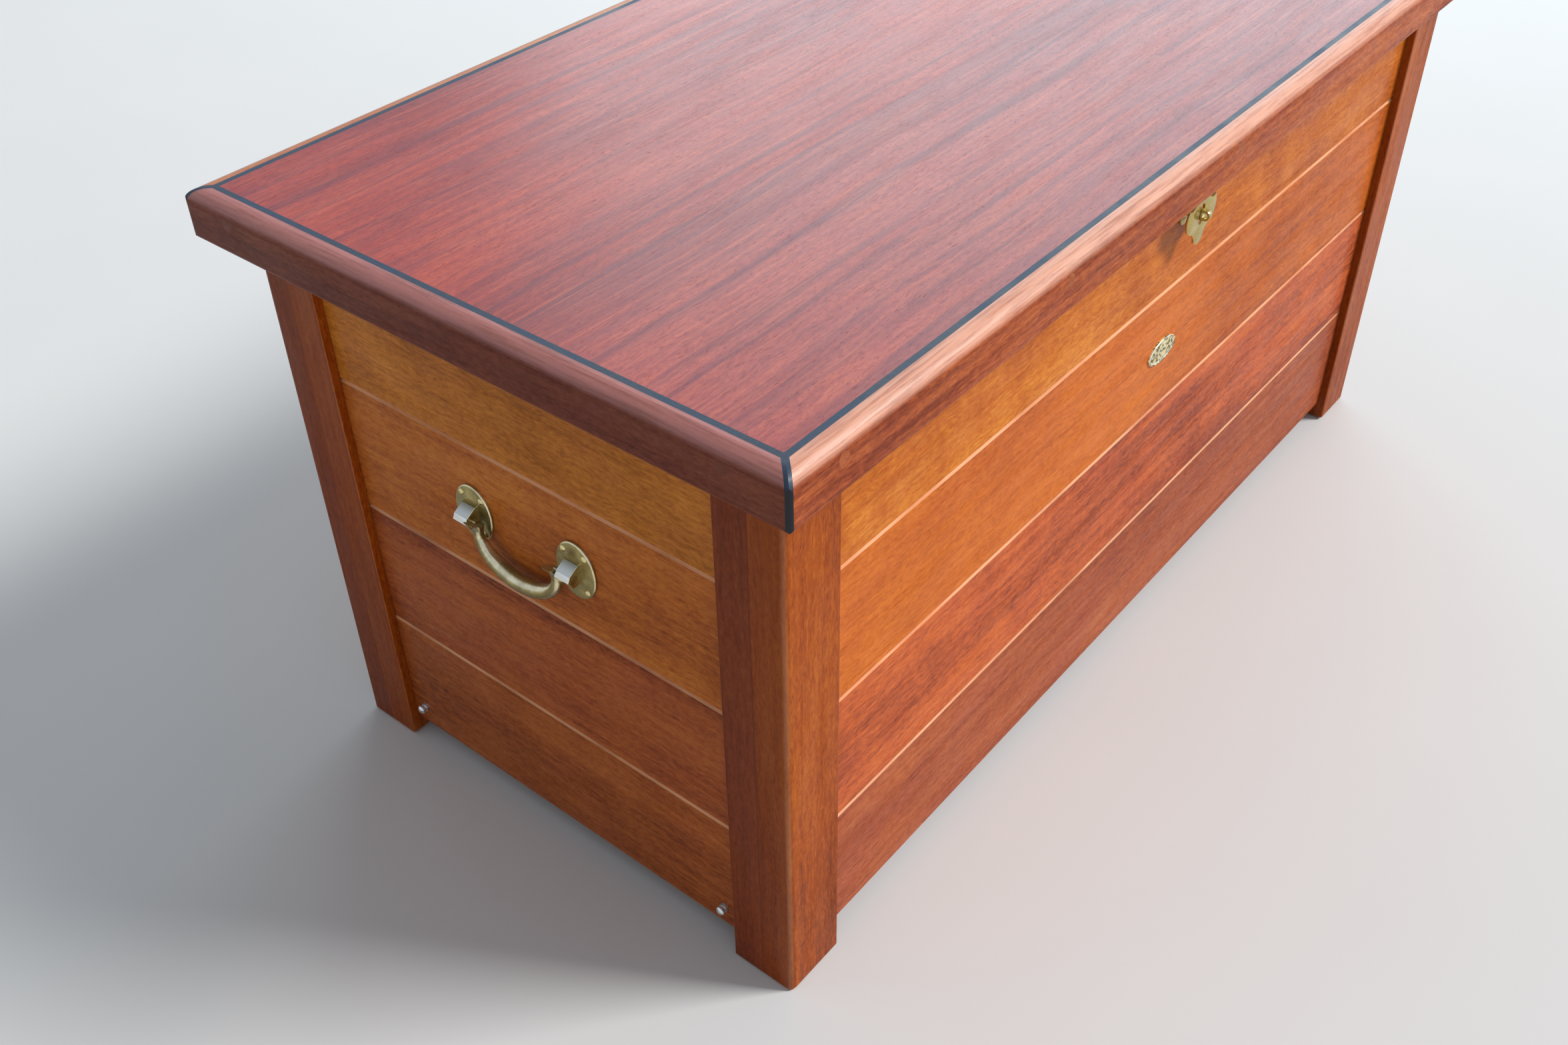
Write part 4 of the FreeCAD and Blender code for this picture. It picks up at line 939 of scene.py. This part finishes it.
class Assembly:
    """Group of CAD nodes that are dressed together."""

    def dress(self, nodes: Iterable[str], finish: Finish) -> None:
        """Puts a finish on CAD nodes.

        Args:
            nodes: the nodes' names.
            finish: the finish.
        """
        for node in nodes:
            for slot in frame["nodes"][node].material_slots:
                slot.material = finish.material()
            log.info("%s: %s", node, finish.name)

    def round_off(self, node: str, width: float, finish: Finish, slot: str) -> None:
        """Stands a copy of a CAD node with rounded edges in its place.

        Args:
            node: the CAD node that the copy replaces.
            width: how far the rounding reaches from an edge, in metres.
            finish: the finish of the copy.
            slot: the record's material slot.
        """
        source = frame["nodes"][node]
        shape = bmesh.new()
        shape.from_mesh(source.data)
        bmesh.ops.remove_doubles(shape, verts=shape.verts, dist=MERGE_DISTANCE)
        bmesh.ops.dissolve_limit(shape, angle_limit=FLAT_ANGLE, verts=shape.verts, edges=shape.edges)
        sharp = [edge for edge in shape.edges
                 if len(edge.link_faces) == 2 and edge.calc_face_angle() > SHARP_ANGLE]
        bmesh.ops.bevel(shape, geom=sharp, offset=width, segments=BEVEL_STEPS,
                        profile=BEVEL_PROFILE, affect="EDGES")
        bmesh.ops.triangulate(shape, faces=[face for face in shape.faces if len(face.verts) > 4])
        corners = [vertex.co.copy() for vertex in shape.verts]
        shape.verts.index_update()
        faces = [[vertex.index for vertex in face.verts] for face in shape.faces]
        shape.free()
        self.stand(f"{node}_rounded", corners, faces, source["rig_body"], finish, slot, node)

    def stand(self, name: str, corners: Sequence[Sequence[float]], faces: Sequence[Sequence[int]], body: str,
              finish: Finish, slot: str, node: str) -> None:
        """Makes a smooth-shaded piece that rides on a body and stands for a CAD node.

        Args:
            name: the piece's name.
            corners: its points, in metres.
            faces: its faces, as numbers of points.
            body: the CAD body that it moves with.
            finish: its finish.
            slot: the record's material slot; not used.
            node: the CAD node that it replaces.
        """
        mesh = bpy.data.meshes.new(name)
        mesh.from_pydata(corners, [], faces)
        mesh.shade_smooth()
        mesh.set_sharp_from_angle(angle=CREASE_ANGLE)
        mesh.materials.append(finish.material())
        piece = bpy.data.objects.new(name, mesh)
        bpy.context.scene.collection.objects.link(piece)
        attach(piece, body)
        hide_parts(node)
        log.info("%s: %s for %s", name, finish.name, node)


class Wall(Enum):
    """Side of the box, with the direction that its boards and the lid's member over it run in."""

    FRONT = ("front", Grain.ALONG_X)
    BACK = ("back", Grain.ALONG_X)
    LEFT = ("left", Grain.ALONG_Y)
    RIGHT = ("right", Grain.ALONG_Y)


@dataclass(frozen=True)
class BoardLook:
    """Tones and figure of one row of boards on one pair of walls, with a painted shade along their length."""

    tones: Tones
    streaks: float
    ribbons: float
    figure: float
    painted_shade_lean: float = 0.0


# The last number of each long row is a painted shade that darkens the boards towards the +x end
LONG_ROWS = (
    BoardLook(((122, 55, 31), (150, 71, 39), (172, 88, 50), (188, 106, 62)), 0.4, 0.3, 0.12, -0.15),
    BoardLook(((128, 54, 30), (168, 78, 40), (198, 96, 46), (214, 116, 54)), 0.45, 0.42, 0.2, -0.15),
    BoardLook(((152, 70, 20), (182, 90, 26), (202, 106, 34), (218, 122, 44)), 0.3, 0.25, 0.2, -0.35),
    BoardLook(((150, 68, 16), (178, 90, 24), (198, 110, 34), (218, 136, 50)), 0.28, 0.25, 0.5, -0.25),
)
END_ROWS = (
    BoardLook(((118, 54, 22), (150, 76, 32), (172, 92, 42), (190, 110, 54)), 0.4, 0.35, 0.15),
    BoardLook(((94, 42, 22), (132, 62, 30), (160, 80, 38), (180, 98, 48)), 0.42, 0.45, 0.15),
    BoardLook(((134, 65, 23), (164, 86, 32), (187, 105, 40), (204, 125, 52)), 0.32, 0.3, 0.22),
    BoardLook(((150, 84, 22), (180, 106, 34), (202, 124, 44), (216, 144, 60)), 0.3, 0.3, 0.3),
)


@dataclass
class Carcass(Assembly):
    """Posts, boards and floor."""

    floor_boards: int = 4
    bearers: int = 3
    front_stave: Tones = ((108, 42, 6), (138, 60, 10), (162, 76, 16), (182, 96, 28))
    rear_stave: Tones = ((98, 42, 18), (128, 58, 26), (150, 72, 34), (170, 90, 46))
    post_seed: float = 11.3
    post_seed_step: float = 4.1
    wall_seed_step: float = 17.9
    row_seed_step: float = 3.7

    def dress_posts(self) -> None:
        """Dresses the four corner posts, each of two staves."""
        corners = [(side, end) for side in ("front", "back") for end in ("left", "right")]
        for number, (side, end) in enumerate(corners):
            node = f"post_{side}_{end}"
            low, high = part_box(node)
            # The faces of each post that look along the box get the staves' painted shade
            self.dress([node], VarnishedWood(
                f"post_wood_{side}_{end}", Grain.ALONG_Z, self.front_stave,
                self.post_seed + self.post_seed_step * number, streaks=0.45, ribbons=0.4, figure=0.08,
                pores=0.5, varnish=0.12, gloss=0.2, wear_and_highlight=0.2,
                staves=Staves((low.y + high.y) / 2, self.rear_stave)))

    def dress_boards(self) -> None:
        """Dresses the boards of the four walls, each row and wall with its own wood."""
        for number, wall in enumerate(Wall):
            side, grain = wall.value
            looks = LONG_ROWS if grain is Grain.ALONG_X else END_ROWS
            for row, look in enumerate(looks, 1):
                # The paler edges paint the highlight on the grooves' bevels, with some wearing
                self.dress([f"board_{side}_{row}"], VarnishedWood(
                    f"board_wood_{side}_{row}", grain, look.tones,
                    self.row_seed_step * row + self.wall_seed_step * number, streaks=look.streaks,
                    ribbons=look.ribbons, figure=look.figure, pores=0.45, varnish=0.11, gloss=0.2,
                    worn_and_highlit=(240, 186, 144), wear_and_highlight=0.75, painted_shade_lean=look.painted_shade_lean))

    def dress_floor(self) -> None:
        """Dresses the floor and the rail that carries the hinge."""
        boards = [f"floor_board_{number}" for number in range(1, self.floor_boards + 1)]
        bearers = [f"floor_bearer_{number}" for number in range(1, self.bearers + 1)]
        self.dress(boards + ["hinge_rail"], INNER_WOOD)
        self.dress(bearers, CROSS_WOOD)


@dataclass
class Lid(Assembly):
    """Frame, panel, sealant, plugs and battens of the lid."""

    front: Tones = ((116, 49, 25), (151, 71, 35), (179, 93, 46), (201, 117, 61))
    end: Tones = ((82, 36, 23), (101, 46, 31), (117, 59, 40), (133, 73, 51))
    back: Tones = ((140, 72, 26), (168, 94, 38), (188, 114, 52), (204, 134, 70))
    # Tones and shares of the frame's paler tops: partly sun bleaching, partly a painted sheen
    front_top_sheen: Tone = (229, 171, 146)
    end_top_sheen: Tone = (194, 128, 126)
    back_top_sheen: Tone = (190, 126, 96)
    front_bleach_and_sheen: float = 0.8
    end_bleach_and_sheen: float = 0.6
    back_bleach_and_sheen: float = 0.35
    frame_seed: float = 29.7
    frame_seed_step: float = 5.3
    panel: Tones = ((110, 33, 38), (139, 49, 47), (162, 65, 55), (186, 88, 66))
    panel_rear: Tones = ((112, 29, 26), (142, 41, 32), (166, 57, 39), (190, 80, 48))
    panel_joint: float = -52 * MM
    panel_lines: Tone = (196, 92, 54)
    panel_bands: Tone = (88, 28, 48)
    panel_seed: float = 7.9

    def dress_frame(self) -> None:
        """Dresses the four mitred members."""
        end_look = (self.end, self.end_top_sheen, self.end_bleach_and_sheen)
        looks = {
            Wall.FRONT: (self.front, self.front_top_sheen, self.front_bleach_and_sheen),
            Wall.BACK: (self.back, self.back_top_sheen, self.back_bleach_and_sheen),
            Wall.LEFT: end_look,
            Wall.RIGHT: end_look,
        }
        for number, (wall, (tones, top, bleach_and_sheen_share)) in enumerate(looks.items()):
            side, grain = wall.value
            self.dress([f"lid_frame_{side}"], VarnishedWood(
                f"lid_wood_{side}", grain, tones, self.frame_seed + self.frame_seed_step * number,
                streaks=0.45, ribbons=0.4, figure=0.1, pores=0.5, varnish=0.12, gloss=0.4,
                worn_and_highlit=(232, 170, 136), wear_and_highlight=0.12, top_varnish=0.75, bleach_and_sheen=top, bleach_and_sheen_share=bleach_and_sheen_share, sway=0.01,
                swing=0.003))

    def dress_panel(self) -> None:
        """Dresses the panel, the sealant round it and the plugs over the screws."""
        planks = Staves(self.panel_joint, self.panel_rear, glue=self.panel[0], glue_half=0.2 * MM,
                        end_painted_shade=0.0, joint_shade=0.5)
        self.dress(["lid_panel"], VarnishedWood(
            "lid_panel_veneer", Grain.ALONG_X, self.panel, self.panel_seed, streaks=0.35, ribbons=0.25,
            figure=0.06, pores=0.6, varnish=0.85, gloss=0.3, light_lines=self.panel_lines,
            dark_bands=self.panel_bands, staves=planks, mottle=0.7, blush=0.3, sway=0.035))
        self.dress(["lid_caulk"], SEALANT)
        _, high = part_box("lid_plugs")
        self.dress(["lid_plugs"], PlugWood("plug_end_wood", self.front[2], self.end[2], self.back[2], high.x))

    def dress_battens(self) -> None:
        """Dresses the battens under the panel."""
        self.dress(["lid_batten_left", "lid_batten_right"], CROSS_WOOD)


@dataclass
class LidHinge(Assembly):
    """Continuous hinge at the back."""

    def dress_hinge(self) -> None:
        """Dresses the leaves, the pin and the screws."""
        self.dress(["hinge_box_leaf", "hinge_lid_leaf", "hinge_pin", "hinge_box_screws", "lid_screws"],
                   HINGE_BRASS)


@dataclass
class Hasp(Assembly):
    """Hasp under the lid's front edge, and the staple that it closes over."""

    rounding: float = 0.5 * MM

    def dress_hasp(self) -> None:
        """Rounds the flat pieces and dresses them all."""
        for node in ("hasp_plate", "hasp_leaf", "staple"):
            self.round_off(node, self.rounding, HASP_BRASS, "brass")
        self.dress(["hasp_pin", "staple_screws"], HASP_BRASS)


@dataclass
class OvalPlate(Assembly):
    """Bare oval plate on the front, with a rolled rim.

    The profile goes inwards from the rim, as inset in mm and share of the height.
    """

    segments: int = 72
    profile: Tuple[Tuple[float, float], ...] = (
        (0.0, 0.0), (0.0, 0.6), (0.25, 0.8), (0.7, 0.95), (1.2, 1.0), (1.6, 1.0), (2.1, 0.93), (2.6, 0.78),
        (3.0, 0.64), (3.4, 0.58), (5.0, 0.6), (8.0, 0.66), (12.0, 0.72))

    def build(self) -> None:
        """Lays a ring at each point of the profile and joins the rings."""
        low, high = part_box("oval_plate")
        middle = (low + high) / 2
        half_long, half_tall, rise = (high.x - low.x) / 2, (high.z - low.z) / 2, high.y - low.y
        corners: List[Triple] = []
        for inset, share in self.profile:
            for number in range(self.segments):
                turn = 2 * math.pi * number / self.segments
                corners.append((middle.x + (half_long - inset * MM) * math.cos(turn), high.y - share * rise,
                                middle.z + (half_tall - inset * MM) * math.sin(turn)))
        faces: List[List[int]] = []
        for ring in range(len(self.profile) - 1):
            outer = ring * self.segments
            inner = outer + self.segments
            for number in range(self.segments):
                after = (number + 1) % self.segments
                faces.append([outer + number, outer + after, inner + after, inner + number])
        last = (len(self.profile) - 1) * self.segments
        faces.append([last + number for number in range(self.segments)])
        faces.append(list(reversed(range(self.segments))))
        self.stand("oval_plate_rolled", corners, faces, "box", OVAL_BRASS, "brass", "oval_plate")


@dataclass
class DropHandles(Assembly):
    """Plates, hoods, nails and bows of both handles."""

    rounding: float = 0.5 * MM

    def dress_handles(self) -> None:
        """Rounds the plates with their hoods, and dresses the handles of both ends."""
        for end in ("left", "right"):
            for place in ("front", "back"):
                self.round_off(f"handle_plate_{end}_{place}", self.rounding, PLATE_BRASS, "brass")
            self.dress([f"handle_bail_{end}"], BRASS)
        self.dress(["handle_nails"], NAIL_BRASS)


@dataclass
class Fittings(Assembly):
    """Stays inside the lid, and the studs for a cover."""

    def dress_fittings(self) -> None:
        """Dresses the stainless pieces."""
        self.dress(["cover_studs", "stay_studs", "stay_brackets", "stay_arm_left", "stay_arm_right"], STEEL)


@dataclass
class Studio:
    """Floor, soft light, pale surroundings and the camera."""

    floor_size: float = 40.0
    floor_tone: Tone = (214, 215, 217)
    key_from: Triple = (0.4826, -0.597, 0.643)
    key_distance: float = 60.0
    key_size: float = 18.0
    key_power: float = 37080.0
    key_colour: Triple = (1.0, 0.98, 0.94)
    sheen_at: Triple = (3.57, 1.6, 2.3)
    sheen_size: Tuple[float, float] = (4.5, 2.6)
    sheen_power: float = 78.0
    sheen_colour: Triple = (0.78, 0.95, 1.0)
    aim: Triple = (0.0, 0.0, 0.3)
    sky: Colour = (0.92, 0.96, 1.0, 1.0)
    sky_light: float = 0.42
    seen_sky: Colour = (0.74, 0.81, 0.94, 1.0)
    seen_light: float = 1.0
    lens: float = 36.044
    sensor: float = 36.0
    eye: Triple = (-1.28193, -0.8508, 1.27563)
    heading: float = -50.395
    tilt: float = 50.71
    roll: float = -1.076

    def lay_floor(self) -> None:
        """Lays the floor under the feet."""
        half = self.floor_size / 2
        corners = [(-half, -half, 0), (half, -half, 0), (half, half, 0), (-half, half, 0)]
        mesh = bpy.data.meshes.new("floor")
        mesh.from_pydata(corners, [], [(0, 1, 2, 3)])
        mesh.materials.append(PaleFloor("pale_floor", self.floor_tone).material())
        floor = bpy.data.objects.new("floor", mesh)
        bpy.context.scene.collection.objects.link(floor)

    def hang_lamp(self, name: str, place: Vector, size: Tuple[float, float], power: float,
                  colour: Triple) -> None:
        """Hangs a soft box at a place and turns it to the storage box.

        Args:
            name: the lamp's name.
            place: where its middle is.
            size: its width and height.
            power: its power in watts.
            colour: the light's colour.
        """
        lamp = bpy.data.lights.new(name, "AREA")
        lamp.color = colour
        lamp.shape = "RECTANGLE"
        lamp.size, lamp.size_y = size
        lamp.energy = power
        hung = bpy.data.objects.new(name, lamp)
        bpy.context.scene.collection.objects.link(hung)
        hung.location = place
        hung.rotation_euler = (place - Vector(self.aim)).to_track_quat("Z", "Y").to_euler()
        hung.visible_camera = False

    def light(self) -> None:
        """Sets the key light, the sheen on the lid and the surroundings."""
        key_at = Vector(self.aim) + Vector(self.key_from) * self.key_distance
        self.hang_lamp("key", key_at, (self.key_size, self.key_size), self.key_power, self.key_colour)
        self.hang_lamp("sheen", Vector(self.sheen_at), self.sheen_size, self.sheen_power, self.sheen_colour)

        world = bpy.data.worlds.new("studio")
        bpy.context.scene.world = world
        world.use_nodes = True
        graph = Graph(world.node_tree)
        rays = graph.add("ShaderNodeLightPath").socket.node.outputs
        camera, glossy, through = [Wire(graph, rays[f"Is {kind} Ray"])
                                   for kind in ("Camera", "Glossy", "Transmission")]
        share = graph.maths("MINIMUM", camera + glossy + through, 1.0)
        lit = graph.add("ShaderNodeBackground", None, {"Color": self.sky, "Strength": self.sky_light})
        shown = graph.add("ShaderNodeBackground", None, {"Color": self.seen_sky, "Strength": self.seen_light})
        both = graph.add("ShaderNodeMixShader", None, {0: share, 1: lit, 2: shown})
        graph.close("ShaderNodeOutputWorld", both)

    def place_camera(self) -> None:
        """Puts the camera where the photograph was taken from."""
        lens = bpy.data.cameras.new("camera")
        lens.sensor_width = self.sensor
        lens.lens = self.lens
        camera = bpy.data.objects.new("camera", lens)
        bpy.context.scene.collection.objects.link(camera)
        heading, tilt, roll = [Matrix.Rotation(math.radians(angle), 4, axis) for angle, axis in
                               ((self.heading, "Z"), (self.tilt, "X"), (self.roll, "Z"))]
        camera.matrix_world = Matrix.Translation(self.eye) @ (heading @ tilt @ roll)
        bpy.context.scene.camera = camera
        bpy.context.scene.view_settings.view_transform = "Standard"


def main() -> None:
    """Builds the studio, then dresses each sub-assembly in order."""
    logging.basicConfig(level=logging.INFO, format="%(name)s %(message)s")
    studio = Studio()
    studio.place_camera()
    studio.lay_floor()
    studio.light()
    carcass = Carcass()
    carcass.dress_posts()
    carcass.dress_boards()
    carcass.dress_floor()
    lid = Lid()
    lid.dress_frame()
    lid.dress_panel()
    lid.dress_battens()
    LidHinge().dress_hinge()
    Hasp().dress_hasp()
    OvalPlate().build()
    DropHandles().dress_handles()
    Fittings().dress_fittings()


if __name__ == "__main__":
    main()
